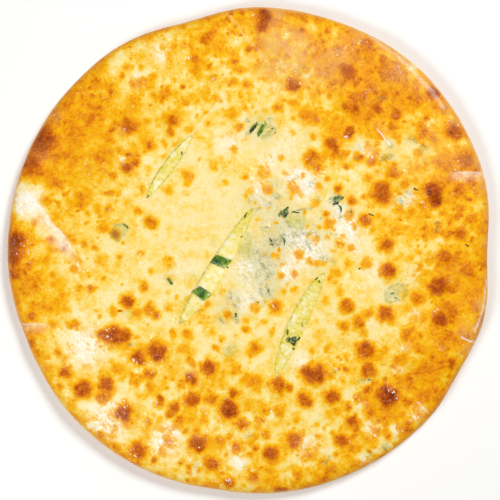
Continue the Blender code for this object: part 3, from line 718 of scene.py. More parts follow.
def crust_height(x, y):
    """Height of the crust's top: the CAD solid's form, finer relief, and lips that sink at the slashes."""
    calm = 1.0 - smooth_step(rim_share(x, y), *CALM_RIM)
    lip = SLASH_LIP * np.exp(-((np.maximum(slash_distance(x, y), 0.0) / LIP_WIDTH) ** 2))
    height = broad_height(x, y) + calm * fine_relief(x, y) - lip
    return np.minimum(height, HIGHEST_DOUGH)


def cheese_relief(x, y):
    """Relief of the cheese that shows: soft curds, a few of them white lumps, and small pits."""
    curds = CURD_HEIGHT * rough_noise(x, y, CURDS)
    lumps = LUMP_HEIGHT * smooth_step(rough_noise(x, y, LUMPS), 0.25, 0.7)
    pits = PIT_DEPTH * smooth_step(rough_noise(x, y, PITS), 0.35, 0.8)
    return curds + lumps - pits


def cheese_level(x, y, share, lane):
    """Height of the cheese in a slash: a little lower along the edges, with its relief in the middle."""
    sink = EDGE_SINK * CHEESE_CROWN * (1.0 - (1.0 - lane**2) * (1.0 - share**2))
    level = broad_height(x, y) - CHEESE_BELOW_TOP + CHEESE_LIFT - sink
    return level + (1.0 - lane**4) * cheese_relief(x, y)


def slash_ground(slash, lift=0.0):
    """A function of x and y that gives the cheese's height in that slash, raised by the lift."""
    def height(x, y):
        share, lane = slash_place(slash, x, y)
        return cheese_level(x, y, np.clip(share, -1.0, 1.0), np.clip(lane, -1.0, 1.0)) + lift
    return height


def rolled_edge(reach, drop, rings):
    """Points of a rolled edge as arrays of how far out and how far down, from its start to its end."""
    turn = np.linspace(0.0, 0.5 * math.pi, rings + 1)
    out = np.sin(turn) ** (2.0 / ROLL_POWER)
    down = 1.0 - np.clip(np.cos(turn), 0.0, 1.0) ** (2.0 / ROLL_POWER)
    return reach * out, drop * down


def disc_grid(cells):
    """A square grid folded onto the unit disc: each square ring of the grid becomes a circle."""
    side = np.linspace(-1.0, 1.0, cells + 1)
    u, v = np.meshgrid(side, side, indexing="ij")
    wide = np.abs(u) >= np.abs(v)
    reach = np.where(wide, u, v)
    safe = np.where(reach == 0.0, 1.0, reach)
    turn = np.where(wide, 0.25 * math.pi * v / safe, 0.5 * math.pi - 0.25 * math.pi * u / safe)
    return reach * np.cos(turn), reach * np.sin(turn)


def grid_faces(rows, columns):
    """Corner indices of a grid's squares, in order of its rows, facing up where both axes rise."""
    index = np.arange(rows * columns).reshape(rows, columns)
    corners = (index[:-1, :-1], index[1:, :-1], index[1:, 1:], index[:-1, 1:])
    return np.stack([corner.ravel() for corner in corners], axis=1)


def grid_border(rows, columns):
    """Indices round a grid's edge, anticlockwise, from its first corner."""
    index = np.arange(rows * columns).reshape(rows, columns)
    sides = (index[:-1, 0], index[-1, :-1], index[:0:-1, -1], index[0, :0:-1])
    return np.concatenate(sides)


def belt_faces(first, second):
    """Squares between two loops of indices; they face out where the second lies outside or below."""
    return np.stack((first, second, np.roll(second, -1), np.roll(first, -1)), axis=1)


def fan_faces(loop, middle):
    """Triangles from a loop of indices to one middle point, with the loop's own facing."""
    return np.stack((loop, np.full_like(loop, middle), np.roll(loop, -1)), axis=1)


def closed_sheet(upper, lower):
    """Points and faces of a solid between two grids of points with the same outline in plan."""
    rows, columns = upper.shape[:2]
    count = rows * columns
    points = np.concatenate((upper.reshape(-1, 3), lower.reshape(-1, 3)))
    top = grid_faces(rows, columns)
    border = grid_border(rows, columns)
    return points, [top, top[:, ::-1] + count, belt_faces(border, border + count)]


def joined_forms(forms):
    """Points and faces of several forms as one."""
    points, faces, count = [], [], 0
    for form_points, form_faces in forms:
        points.append(form_points)
        faces += [block + count for block in form_faces]
        count += len(form_points)
    return np.concatenate(points), faces


def mesh_object(name, points, faces):
    """A smooth mesh object in the scene, from points and blocks of faces."""
    mesh = bpy.data.meshes.new(name)
    mesh.from_pydata(points.tolist(), [], [row for block in faces for row in block.tolist()])
    mesh.shade_smooth()
    obj = bpy.data.objects.new(name, mesh)
    bpy.context.scene.collection.objects.link(obj)
    return obj


def new_piece(name, form, slot_name, material, *nodes):
    """A piece from a form's points and faces, which rides the bread and stands for the nodes."""
    piece = mesh_object(name, *form)
    piece.data.materials.append(material)
    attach(piece, "root")
    if nodes:
        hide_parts(*nodes)
    return piece


def mesh_points(obj):
    """The object's vertices as an array of rows."""
    points = np.empty(3 * len(obj.data.vertices))
    obj.data.vertices.foreach_get("co", points)
    return points.reshape(-1, 3)


def paint(obj, name, values):
    """Stores a number for each vertex, for the object's material to read."""
    layer = obj.data.attributes.new(name, "FLOAT", "POINT")
    layer.data.foreach_set("value", np.ascontiguousarray(values, np.float32))


def cut(obj, other, operation):
    """Joins another closed shape to the object's mesh or cuts it away, and removes the other."""
    step = obj.modifiers.new("cut", "BOOLEAN")
    step.operation = operation
    step.solver = "MANIFOLD"
    step.object = other
    graph = bpy.context.evaluated_depsgraph_get()
    mesh = bpy.data.meshes.new_from_object(obj.evaluated_get(graph))
    obj.modifiers.clear()
    obj.data = mesh
    bpy.data.objects.remove(other, do_unlink=True)


def outer_form():
    """Points and faces of the bread's whole outside: a fine top, the rolled rim and the underside."""
    side = TOP_CELLS + 1
    disc_x, disc_y = disc_grid(TOP_CELLS)
    flat_top = RADIUS - TOP_ROLL
    flat_base = RADIUS - BASE_ROLL
    top = np.stack((flat_top * disc_x, flat_top * disc_y, np.full_like(disc_x, SHOULDER_HEIGHT)), axis=2)
    points = [top.reshape(-1, 3)]
    faces = [grid_faces(side, side)]
    loop = grid_border(side, side)
    turn = np.arctan2(disc_y.ravel()[loop], disc_x.ravel()[loop])
    out, down = rolled_edge(TOP_ROLL, SHOULDER_HEIGHT - WAIST_HEIGHT, ROLL_RINGS)
    under_out, under_down = rolled_edge(BASE_ROLL, WAIST_HEIGHT, UNDER_RINGS)
    shrink = np.linspace(1.0, 0.0, BASE_RINGS + 1)[1:-1]
    reach = np.concatenate((flat_top + out[1:], flat_base + under_out[-2::-1], flat_base * shrink))
    level = np.concatenate((SHOULDER_HEIGHT - down[1:], under_down[-2::-1], 0.0 * shrink))
    count = side * side
    for distance, height in zip(reach, level):
        ring = (distance * np.cos(turn), distance * np.sin(turn), np.full_like(turn, height))
        points.append(np.stack(ring, axis=1))
        following = count + np.arange(len(loop))
        faces.append(belt_faces(loop, following))
        loop = following
        count += len(loop)
    points.append(np.zeros((1, 3)))
    faces.append(fan_faces(loop, count))
    return np.concatenate(points), faces


def settle_outside(points):
    """Fits the outside to the bread: outline with its flats and slight waves, and the top's relief."""
    x, y, z = points.T
    angle = np.arctan2(y, x)
    round_x, round_y = RADIUS * np.cos(angle), RADIUS * np.sin(angle)
    wave = OUTLINE_WAVE * (1.0 + rough_noise(round_x, round_y, OUTLINE_WAVES))
    fit = (edge_radius(angle) - OUTLINE_INSET - wave) / RADIUS
    x, y = x * fit, y * fit
    above = np.clip((z - WAIST_HEIGHT) / (SHOULDER_HEIGHT - WAIST_HEIGHT), 0.0, 1.0)
    z = z + above * (crust_height(x, y) - SHOULDER_HEIGHT)
    return np.stack((x, y, z), axis=1)


def cavity_form(gap):
    """Points and faces of the disc inside the dough, smaller by a gap all round, as the CAD solid.

    Its loops run out over the top, round the rolled edge and back in under the base. Each end is
    closed by a fan to a middle point."""
    inset = RIM_DOUGH + gap
    top = SHOULDER_HEIGHT - TOP_DOUGH - gap
    base = BASE_DOUGH + gap
    roll = top - CHEESE_MIDDLE
    flat = RADIUS - inset - roll
    out, down = rolled_edge(roll, roll, CAVITY_ROLL_RINGS)
    flats = flat * np.arange(1, CAVITY_RINGS) / CAVITY_RINGS
    reach = np.concatenate((flats, flat + out, flat + out[-2::-1]))
    lower = base + (CHEESE_MIDDLE - base) / roll * down[-2::-1]
    level = np.concatenate((np.full_like(flats, top), top - down, lower))
    turn = np.arange(CAVITY_STEPS) * 2.0 * math.pi / CAVITY_STEPS
    x = np.append((reach[:, None] * np.cos(turn)).ravel(), (0.0, 0.0))
    y = np.append((reach[:, None] * np.sin(turn)).ravel(), (0.0, 0.0))
    z = np.append(np.repeat(level, CAVITY_STEPS), (top, base))
    fit = (edge_radius(np.arctan2(y, x)) - inset) / (RADIUS - inset)
    x, y = x * fit, y * fit
    above = np.clip((z - CHEESE_MIDDLE) / (top - CHEESE_MIDDLE), 0.0, 1.0)
    z = z + above * (broad_height(x, y) - SHOULDER_HEIGHT)
    loops = np.arange(len(reach) * CAVITY_STEPS).reshape(len(reach), CAVITY_STEPS)
    faces = [belt_faces(first, second) for first, second in zip(loops[:-1], loops[1:])]
    faces.append(fan_faces(loops[0], loops.size)[:, ::-1])
    faces.append(fan_faces(loops[-1], loops.size + 1))
    return np.stack((x, y, z), axis=1), faces


def slash_outline(slash, margin):
    """Plan of a slash as grids of x and y, with the grids of share and lane that they come from.

    The half width is a leaf's, a power of 1 less the share's square, and noise tears its edges."""
    rows, columns = SLASH_CELLS
    share = np.sin(0.5 * math.pi * np.linspace(-1.0, 1.0, rows))[:, None]
    share, lane = np.broadcast_arrays(share, np.linspace(-1.0, 1.0, columns)[None, :])
    leaf = np.clip(1.0 - share**2, 0.0, 1.0) ** slash.fullness * (1.0 - slash.skew * share)
    side_line = EDGES_APART * np.sign(lane)
    tear = TEAR * rough_noise(0.5 * slash.length * share, side_line, TORN_EDGE) * np.abs(lane)
    half_width = np.maximum((0.5 * slash.width + tear) * leaf - margin, 0.4 * CLEARANCE)
    along = (0.5 * slash.length - margin) * share
    across = lane * half_width + slash.bow * (1.0 - share**2)
    x, y = placed(along, across, slash.x, slash.y, math.radians(slash.angle))
    return x, y, share, lane


def slash_solid(name, slash, margin, top):
    """A leaf-shaped solid along a slash, from the middle of the cheese up to top(x, y, share, lane)."""
    x, y, share, lane = slash_outline(slash, margin)
    upper = np.stack((x, y, top(x, y, share, lane)), axis=2)
    lower = np.stack((x, y, np.full_like(x, CHEESE_MIDDLE)), axis=2)
    return mesh_object(name, *closed_sheet(upper, lower))


def above_bread(x, y, share, lane):
    """A height clear over the bread, where a cutter ends."""
    return np.full_like(x, CENTRE_HEIGHT + TOP_ROLL)


def golden_base(x, y):
    """Browning without blisters: low in the middle, higher to the rim, plus the golden stretches."""
    rim = rim_share(x, y)
    base = CENTRE_BROWNING + RIM_BROWNING * smooth_step(rim, 0.35, 0.95)
    base += EDGE_BROWNING * smooth_step(rim, 0.95, 0.99)
    return np.clip(base + spread_sum(x, y, GOLDEN_STRETCHES), 0.0, MOST_GOLDEN)


def smooth_skin(x, y):
    """How smooth the golden skin is, from 0 to 0.9."""
    return np.clip(spread_sum(x, y, SMOOTH_STRETCHES), 0.0, 0.9)


def scattered_blisters():
    """Small blisters between the listed ones: the more golden the dough, the more of them."""
    draw = np.random.default_rng(SCATTER_SEED)
    turn = draw.uniform(0.0, 2.0 * math.pi, SCATTER_COUNT)
    reach = SCATTER_REACH * RADIUS * np.sqrt(draw.uniform(0.0, 1.0, SCATTER_COUNT))
    x, y = reach * np.cos(turn), reach * np.sin(turn)
    base = golden_base(x, y)
    chance = 0.06 + 0.75 * smooth_step(base, 0.03, 0.30)
    chance *= 1.0 - smooth_skin(x, y)
    kept = draw.uniform(0.0, 1.0, SCATTER_COUNT) < chance
    radius = 0.8 + 2.0 * draw.uniform(0.0, 1.0, SCATTER_COUNT) ** 2
    dark = np.minimum(base + draw.uniform(0.10, 0.34, SCATTER_COUNT), SCATTER_DARKEST)
    return np.stack((x / MM, y / MM, radius, dark), axis=1)[kept].tolist()


def clouded_base(x, y, moved_x, moved_y):
    """The golden base with clouds, strongest at a middling browning, and pale holes in the gold."""
    base = golden_base(x, y)
    clouds = rough_noise(moved_x, moved_y, CLOUDS)
    reach = CLOUD_LEAST + CLOUD_MOST * np.clip(1.0 - ((base - 0.27) / 0.25) ** 2, 0.0, 1.0)
    holes = smooth_step(rough_noise(moved_x, moved_y, HOLES), 0.15, 0.55)
    golden = smooth_step(base, 0.08, 0.22) * (1.0 - smooth_step(base, 0.34, 0.44))
    pale = HOLE_DEPTH * holes * golden * (1.0 - smooth_skin(x, y))
    return np.clip(base + reach * clouds - pale, 0.0, MOST_CLOUDED)


def browning_map(x, y):
    """How browned the top is: the clouded base, then each blister's halo, then its dark core.

    A lacy noise breaks the halos and cores up, so that they aren't round."""
    moved_x, moved_y = ragged(x, y)
    browning = clouded_base(x, y, moved_x, moved_y)
    lace = np.clip(0.95 + 0.6 * rough_noise(x, y, LACE), 0.35, 1.0)
    blisters = BLISTERS + tuple(scattered_blisters())
    for centre_x, centre_y, radius, dark in blisters:
        halo = 1.0 - smooth_step(radii_off(moved_x, moved_y, centre_x, centre_y, radius), *HALO_SPAN)
        browning += halo * lace * np.clip(min(0.62 * dark, HALO_DARKEST) - browning, 0.0, 1.0)
    for centre_x, centre_y, radius, dark in blisters:
        core = 1.0 - smooth_step(radii_off(moved_x, moved_y, centre_x, centre_y, radius), *CORE_SPAN)
        browning += core * lace**0.5 * np.clip(dark - browning, 0.0, 1.0)
    return browning


def strewn_strands():
    """Strands of herb strewn by a seed where herbs show, mostly running down to the right."""
    draw = np.random.default_rng(STRAND_SEED)
    patches = np.array(HERBS_UNDER_DOUGH)
    weight = patches[:, 3] * patches[:, 2] ** 2
    home = patches[draw.choice(len(patches), STREWN_STRANDS, p=weight / weight.sum())]
    x = home[:, 0] + draw.normal(0.0, 0.6, STREWN_STRANDS) * home[:, 2]
    y = home[:, 1] + draw.normal(0.0, 0.6, STREWN_STRANDS) * home[:, 2]
    ranges = (STRAND_ANGLES, STRAND_LENGTHS, STRAND_WIDTHS, STRAND_STRENGTHS)
    drawn = [draw.uniform(*limits, STREWN_STRANDS) for limits in ranges]
    return np.stack((x, y, *drawn), axis=1).tolist()


def strand_map(x, y):
    """Strands of herb under the skin: soft strokes, each a straight line with round ends."""
    strands = np.zeros_like(x)
    for centre_x, centre_y, angle, length, width, strength in STRANDS + tuple(strewn_strands()):
        along, across = turned(x - centre_x * MM, y - centre_y * MM, math.radians(angle))
        beyond = np.maximum(np.abs(along) - 0.5 * (length - width) * MM, 0.0)
        away = np.hypot(beyond, across) / (0.5 * width * MM)
        strands = np.maximum(strands, strength * (1.0 - smooth_step(away, 0.4, 1.5)))
    return strands


def green_maps(x, y):
    """Yellow-green onion in or under the dough: a map of soft tints and filled slices, and one of rings.

    A slice is a rounded square of the third power, so that it has corners; its rings lie at its
    edge and half way in."""
    tint, rings = spread_sum(x, y, GREEN_TINTS), np.zeros_like(x)
    for centre_x, centre_y, long_half, short_half, angle, outline, fill in ONION_SLICES:
        along, across = turned(x - centre_x * MM, y - centre_y * MM, math.radians(angle))
        along, across = along / (long_half * MM), across / (short_half * MM)
        off = (np.abs(along) ** 3 + np.abs(across) ** 3) ** (1 / 3)
        ring = np.exp(-(((off - 0.95) / 0.13) ** 2)) + 0.5 * np.exp(-(((off - 0.5) / 0.12) ** 2))
        rings = np.maximum(rings, outline * ring)
        tint += fill * (1.0 - smooth_step(off, 0.85, 1.1))
    return np.clip(tint, 0.0, 1.0), np.clip(rings, 0.0, 1.0)


def paint_patches(crust, x, y, patches):
    """Paints the sum of soft round patches onto the crust, for each name and its rows."""
    for name, rows in patches.items():
        paint(crust, name, np.clip(spread_sum(x, y, rows), 0.0, 1.0))


def paint_sides(crust, x, y, z):
    """Paints where the crust's slash edges, underside, pale side and cut faces are."""
    rim = rim_share(x, y)
    edge = 1.0 - smooth_step(slash_distance(x, y), 0.0, SLASH_EDGE_WIDTH)
    paint(crust, "slash_edge", (z > WAIST_HEIGHT) * edge)
    paint(crust, "underside", 1.0 - smooth_step(z, *UNDERSIDE_FADE))
    belt = smooth_step(z, *SIDE_FROM) * (1.0 - smooth_step(z, *SIDE_TO))
    paint(crust, "side", smooth_step(rim, 0.965, 0.99) * belt)
    below_top = z < broad_height(x, y) - CUT_FACE_BELOW
    paint(crust, "cut_face", (rim < CUT_FACE_RIM) & below_top & (z > CUT_FACE_ABOVE))


def finish_crust(crust):
    """Paints the crust's maps onto its vertices and keeps the slashes' lips sharp."""
    x, y, z = mesh_points(crust).T
    moved_x, moved_y = ragged(x, y)
    paint(crust, "browning", browning_map(x, y))
    paint(crust, "strands", strand_map(0.5 * (x + moved_x), 0.5 * (y + moved_y)))
    green, rings = green_maps(moved_x, moved_y)
    paint(crust, "green", green)
    paint(crust, "rings", rings)
    paint_patches(crust, x, y, {"glints": GLINT_CLUSTERS})
    # Milky patches and pinkish skin are both partly painted glare
    ragged_patches = {"herbs": HERBS_UNDER_DOUGH, "milky_and_glare": MILKY_AND_GLARE_PATCHES, "pinkish_and_glare": PINKISH_SKIN_AND_GLARE_PATCHES}
    paint_patches(crust, moved_x, moved_y, ragged_patches)
    paint_sides(crust, x, y, z)
    crust.data.shade_smooth()
    crust.data.set_sharp_from_angle(angle=LIP_ANGLE)


def make_crust(material):
    """The dough: its whole outside round the hollow for the cheese, open at the slashes."""
    points, faces = outer_form()
    hollow_points, hollow_faces = cavity_form(0.0)
    turned_in = [block[:, ::-1] for block in hollow_faces]
    form = joined_forms(((settle_outside(points), faces), (hollow_points, turned_in)))
    crust = new_piece("baked_crust", form, "baked_dough", material, "bread_crust")
    for number, slash in enumerate(SLASHES):
        cut(crust, slash_solid(f"slash_cut_{number}", slash, 0.0, above_bread), "DIFFERENCE")
    finish_crust(crust)


def finish_cheese(cheese):
    """Paints where the cheese is oily, where its edge has a painted dark olive shadow, and where its white
    lumps are.
    """
    x, y = mesh_points(cheese).T[:2]
    oil, edge_shadow = np.zeros_like(x), np.zeros_like(x)
    for slash, tints, (left, right) in zip(SLASHES, OIL_ALONG_SLASHES, EDGE_SHADOW_AT_SIDES):
        share, lane = slash_place(slash, x, y)
        here = (np.abs(share) < 1.03) & (np.abs(lane) < 1.4)
        places, amounts = zip(*tints)
        edges = 0.4 * smooth_step(lane, 0.4, 1.0) + 0.2 * smooth_step(-lane, 0.6, 1.0)
        oil = np.where(here, np.clip(np.interp(share, places, amounts) + edges, 0.0, 1.0), oil)
        # Painted shadow: a dark olive line along the slash's edges and tips, darker on its left side
        line = left * smooth_step(lane, 0.62, 0.95) + right * smooth_step(-lane, 0.66, 0.98)
        line = np.maximum(line, left * smooth_step(np.abs(share), 0.9, 1.0))
        edge_shadow = np.where(here, line * (0.75 + 0.5 * rough_noise(x, y, EDGE_SHADOW_PATCHES)), edge_shadow)
    paint(cheese, "oil", oil)
    paint(cheese, "edge_shadow", np.clip(edge_shadow, 0.0, 1.0))
    paint(cheese, "lump", smooth_step(rough_noise(x, y, LUMPS), 0.2, 0.6))
    cheese.data.shade_smooth()
    cheese.data.set_sharp_from_angle(angle=LIP_ANGLE)


def make_cheese(material):
    """The cheese: a disc that fills the hollow, and stands up into the slashes with its curds."""
    cheese = new_piece("melted_cheese", cavity_form(CLEARANCE), "fresh_cheese", material, "cheese_filling")
    for number, slash in enumerate(SLASHES):
        cut(cheese, slash_solid(f"cheese_rise_{number}", slash, CHEESE_TOUCH, cheese_level), "UNION")
    finish_cheese(cheese)


def laid_sheet(along, across, x, y, angle, ground, rise, thickness):
    """A closed sheet from grids of offsets: turned and moved to its place, then laid on the ground."""
    plan_x, plan_y = placed(along, across, x * MM, y * MM, math.radians(angle))
    level = ground(plan_x, plan_y) + rise
    upper = np.stack((plan_x, plan_y, level + thickness), axis=2)
    lower = np.stack((plan_x, plan_y, level), axis=2)
    return closed_sheet(upper, lower)


def cut_leaf(bit, ground, ribs, seed):
    """A snip of onion leaf: a ragged four-sided sheet with fine ribs, its sides curling up.

    Returns the sheet and, for each point, how light it is: from dark at its start to light at its
    end, lighter along the ribs and the curled sides, with blotches. The light end and curled sides are
    painted highlights."""
    rows, columns = SNIP_CELLS
    sides = (np.linspace(-1.0, 1.0, rows), np.linspace(-1.0, 1.0, columns))
    share, lane = np.meshgrid(*sides, indexing="ij")
    wobble = 0.06 * lattice_noise(share * 3 * MM, lane * 3 * MM, 1.3 * MM, seed)
    along = 0.5 * bit.length * MM * (share + wobble) + 0.10 * bit.length * MM * lane
    across = 0.5 * bit.width * MM * (lane * (1.0 - bit.taper * share**2) + 1.4 * wobble)
    rib = np.cos(math.pi * ribs * share + 0.8 * lane)
    rumple = rough_noise(along, across, Noise(2.4 * MM, seed + 3))
    rise = (0.10 + 0.22 * np.abs(lane) ** 3 + 0.16 * (rumple + 0.6)) * MM
    thickness = (0.30 + 0.05 * rib) * MM
    form = laid_sheet(along, across, bit.x, bit.y, bit.angle, ground, rise, thickness)
    light = 0.28 + 0.12 * rib + 0.34 * smooth_step(share, -0.1, 1.0) + 0.2 * np.abs(lane) ** 4 + 0.5 * rumple
    return form, np.tile(light.ravel(), 2)


def lobed_leaf(bit, ground, seed, fullness):
    """A crumpled bit of leaf: a disc whose edge runs in and out in lobes, with sharp rumples.

    Returns the sheet and how light each point is, lightest on the rumples' ridges as a painted highlight."""
    disc_x, disc_y = disc_grid(LEAF_CELLS)
    angle = np.arctan2(disc_y, disc_x)
    reach = np.hypot(disc_x, disc_y)
    lobes = np.ones_like(angle)
    for count, depth, phase in ((3.0, 0.24, 1.0), (5.0, 0.16, 2.0), (9.0, 0.07, 3.0)):
        lobes += depth * np.cos(count * angle + phase * seed)
    spread = 1.0 + (fullness * lobes - 1.0) * reach
    along = 0.5 * bit.length * MM * disc_x * spread
    across = 0.5 * bit.width * MM * disc_y * spread
    ridge = 1.0 - np.abs(rough_noise(along, across, Noise(1.6 * MM, seed)))
    rise = (0.05 + 0.55 * ridge**2 * (1.0 - 0.5 * reach**2)) * MM
    form = laid_sheet(along, across, bit.x, bit.y, bit.angle, ground, rise, LEAF_THICKNESS)
    return form, np.tile((smooth_step(ridge, 0.6, 1.0) * 0.7 + 0.1).ravel(), 2)


def green_piece(name, sheets, slot_name, material, *nodes):
    """One piece from sheets and how light their points are."""
    forms, lights = zip(*sheets)
    piece = new_piece(name, joined_forms(forms), slot_name, material, *nodes)
    paint(piece, "light", np.concatenate(lights))


def make_onion_snips(material):
    """The two snips of spring onion in the middle slash, each with a smaller one curled on top of it."""
    ground, raised = slash_ground(MIDDLE_SLASH), slash_ground(MIDDLE_SLASH, INNER_LIFT)
    for end, bit, seed in (("upper", ONION_UPPER, 201), ("lower", ONION_LOWER, 211)):
        inner = bit._replace(
            x=bit.x + 1.6, y=bit.y - 0.9, length=0.45 * bit.length, width=0.8 * bit.width
        )
        sheets = (cut_leaf(bit, ground, 7, seed), cut_leaf(inner, raised, 4, seed + 5))
        green_piece(f"onion_snip_{end}", sheets, "onion_green", material, f"spring_onion_{end}")


def make_greens(onion, wilted):
    """The bits of spring onion and leaf that the CAD has as nodes, each with its own finer form."""
    make_onion_snips(onion)
    for name, node, bit, ribs, seed, slot_name, material in (
        ("stalk_bit_green", "onion_stalk_green", STALK_GREEN, 3, 221, "onion_green", onion),
        ("chive_bit", "chive_snip", CHIVE, 2, 231, "onion_green", onion),
        ("stalk_bit_dark", "onion_stalk_dark", STALK_DARK, 3, 241, "wilted_herb", wilted),
    ):
        green_piece(name, (cut_leaf(bit, crust_height, ribs, seed),), slot_name, material, node)
    for place, bit, ground, seed, fullness in (
        ("slash", LEAF_SLASH, slash_ground(LOWER_SLASH), 3, 0.92),
        ("centre", LEAF_CENTRE, crust_height, 5, 0.78),
        ("east", LEAF_EAST, crust_height, 8, 0.76),
    ):
        sheets = (lobed_leaf(bit, ground, seed, fullness),)
        green_piece(f"leaf_bit_{place}", sheets, "wilted_herb", wilted, f"wilted_leaf_{place}")


def shred(x, y, angle, length, width, ground, sink, seed):
    """A narrow shred of herb, pointed at both ends, which dips in and out of the dough's skin.

    It bends and dips by sines of the share along it, shifted by the seed."""
    rows, columns = SHRED_CELLS
    sides = (np.linspace(-1.0, 1.0, rows), np.linspace(-1.0, 1.0, columns))
    share, lane = np.meshgrid(*sides, indexing="ij")
    along = 0.5 * length * MM * share
    bend = 0.12 * length * MM * np.sin(2.2 * share + seed)
    half_width = 0.5 * width * MM * (0.12 + 0.88 * (1.0 - share**2) ** 0.6)
    across = lane * half_width + bend
    rise = (0.07 * np.sin(5.0 * share + seed) - sink) * MM
    return laid_sheet(along, across, x, y, angle, ground, rise, SHRED_THICKNESS)


def make_shreds(material):
    """Small dark shreds of herb in the dough's skin, and on the cheese in the slashes."""
    sheets = []
    for rows, ground, sink in (
        (SHREDS, crust_height, 0.06),
        (UPPER_SLASH_SHREDS, slash_ground(UPPER_SLASH), 0.0),
        (MIDDLE_SLASH_SHREDS, slash_ground(MIDDLE_SLASH), 0.0),
        (LOWER_SLASH_SHREDS, slash_ground(LOWER_SLASH), 0.0),
    ):
        for number, (x, y, angle, length, width, light) in enumerate(rows):
            form = shred(x, y, angle, length, width, ground, sink, number)
            sheets.append((form, np.full(len(form[0]), light)))
    green_piece("herb_shreds", sheets, "wilted_herb", material)


class Tree:
    """Adds nodes to a shader tree. An input is another node's output, or a plain value."""

    def __init__(self, tree):
        self.tree = tree

    def fill(self, node, inputs):
        """Fills or links a node's inputs, by name or by number."""
        for name, value in inputs.items():
            if isinstance(value, bpy.types.NodeSocket):
                self.tree.links.new(value, node.inputs[name])
            else:
                node.inputs[name].default_value = value
        return node

    def add(self, kind, inputs, **settings):
        """A node with its settings made and its inputs filled."""
        node = self.tree.nodes.new(kind)
        for name, value in settings.items():
            setattr(node, name, value)
        return self.fill(node, inputs)

    def place(self):
        """Object coordinates."""
        return self.add("ShaderNodeTexCoord", {}).outputs["Object"]

    def painted(self, name):
        """A number painted on the mesh."""
        return self.add("ShaderNodeAttribute", {}, attribute_name=name).outputs["Fac"]

    def math(self, operation, first, second=0.0, clamp=False):
        """One sum, product or other operation on two numbers."""
        inputs = {0: first, 1: second}
        return self.add("ShaderNodeMath", inputs, operation=operation, use_clamp=clamp).outputs[0]

    def product(self, *values):
        """The product of several numbers."""
        total = values[0]
        for value in values[1:]:
            total = self.math("MULTIPLY", total, value)
        return total

    def vector(self, operation, first, second=(0.0, 0.0, 0.0)):
        """One operation on two vectors, as a vector."""
        return self.add("ShaderNodeVectorMath", {0: first, 1: second}, operation=operation).outputs[0]

    def measure(self, operation, first, second=(0.0, 0.0, 0.0)):
        """One operation on two vectors, as a number."""
        return self.add("ShaderNodeVectorMath", {0: first, 1: second}, operation=operation).outputs[1]

    def rise(self, value, low, high, start=0.0, end=1.0):
        """A smooth rise from start to end while the value goes from low to high."""
        inputs = {"Value": value, "From Min": low, "From Max": high, "To Min": start, "To Max": end}
        return self.add("ShaderNodeMapRange", inputs, interpolation_type="SMOOTHSTEP").outputs[0]

    def mix(self, share, first, second):
        """A blend of two colours."""
        return self.add("ShaderNodeMix", {0: share, 6: first, 7: second}, data_type="RGBA").outputs[2]

    def noise(self, place, size, detail=3.0, roughness=0.55, distortion=0.0):
        """Noise from 0 to 1 whose lumps are about size metres across."""
        inputs = {"Vector": place, "Scale": 1.0 / size, "Detail": detail}
        inputs |= {"Roughness": roughness, "Distortion": distortion}
        return self.add("ShaderNodeTexNoise", inputs).outputs[0]

    def ramp(self, value, stops):
        """A colour read off a row of (place, colour) stops."""
        node = self.add("ShaderNodeValToRGB", {0: value})
        elements = node.color_ramp.elements
        while len(elements) < len(stops):
            elements.new(1.0)
        for element, (place, colour) in zip(elements, stops):
            element.position = place
            element.color = colour
        return node.outputs[0]

    def group(self, tree, inputs):
        """The outputs of a placed group, with its inputs filled."""
        node = self.tree.nodes.new("ShaderNodeGroup")
        node.node_tree = tree
        return self.fill(node, inputs).outputs

    def flecks(self, tree, place, spacing, share, width):
        """The mask of flecks in a share of the cells, of a spacing in metres and a width in cells."""
        inputs = {"Place": place, "Spacing": spacing, "Share": share, "Width": width}
        return self.group(tree, inputs)["Mask"]


def new_group(name, inputs, outputs):
    """A node group with the named sockets: the group, its Tree, and its input and output nodes."""
    group = bpy.data.node_groups.new(name, "ShaderNodeTree")
    for label, kind in inputs:
        group.interface.new_socket(label, in_out="INPUT", socket_type=kind)
    for label in outputs:
        group.interface.new_socket(label, in_out="OUTPUT", socket_type="NodeSocketFloat")
    return group, Tree(group), group.nodes.new("NodeGroupInput").outputs, group.nodes.new("NodeGroupOutput")


def wrinkle_group():
    """Group: Height of fine wrinkles and grain: a warped noise of one size and a finer one."""
    group, tree, start, end = new_group(
        "fine_wrinkles",
        (("Place", "NodeSocketVector"), ("Wrinkle Size", "NodeSocketFloat"), ("Grain", "NodeSocketFloat")),
        ("Height",),
    )
    scale = tree.math("DIVIDE", 1.0, start["Wrinkle Size"])
    warped = {"Vector": start["Place"], "Scale": scale, "Detail": 3.0, "Roughness": 0.5, "Distortion": 0.7}
    broad = tree.add("ShaderNodeTexNoise", warped).outputs[0]
    finer_scale = tree.math("MULTIPLY", scale, 3.3)
    finer = {"Vector": start["Place"], "Scale": finer_scale, "Detail": 4.0, "Roughness": 0.62}
    grain = tree.math("MULTIPLY", tree.add("ShaderNodeTexNoise", finer).outputs[0], start["Grain"])
    tree.fill(end, {"Height": tree.math("ADD", broad, grain)})
    return group


def fleck_group():
    """Group: Mask of scattered round flecks, each of its own size, from a cell pattern."""
    group, tree, start, end = new_group(
        "scattered_flecks",
        (("Place", "NodeSocketVector"), ("Spacing", "NodeSocketFloat"), ("Share", "NodeSocketFloat"),
         ("Width", "NodeSocketFloat")),
        ("Mask",),
    )
    scale = tree.math("DIVIDE", 1.0, start["Spacing"])
    cells = tree.add("ShaderNodeTexVoronoi", {"Vector": start["Place"], "Scale": scale}).outputs
    lot = tree.add("ShaderNodeSeparateColor", {0: cells["Color"]}).outputs
    kept = tree.math("LESS_THAN", lot[0], start["Share"])
    reach = tree.product(tree.rise(lot[1], 0.0, 1.0, 0.4, 1.0), start["Width"])
    near = tree.math("SUBTRACT", 1.0, tree.math("DIVIDE", cells["Distance"], reach), clamp=True)
    tree.fill(end, {"Mask": tree.product(tree.rise(near, 0.0, 0.8), kept)})
    return group


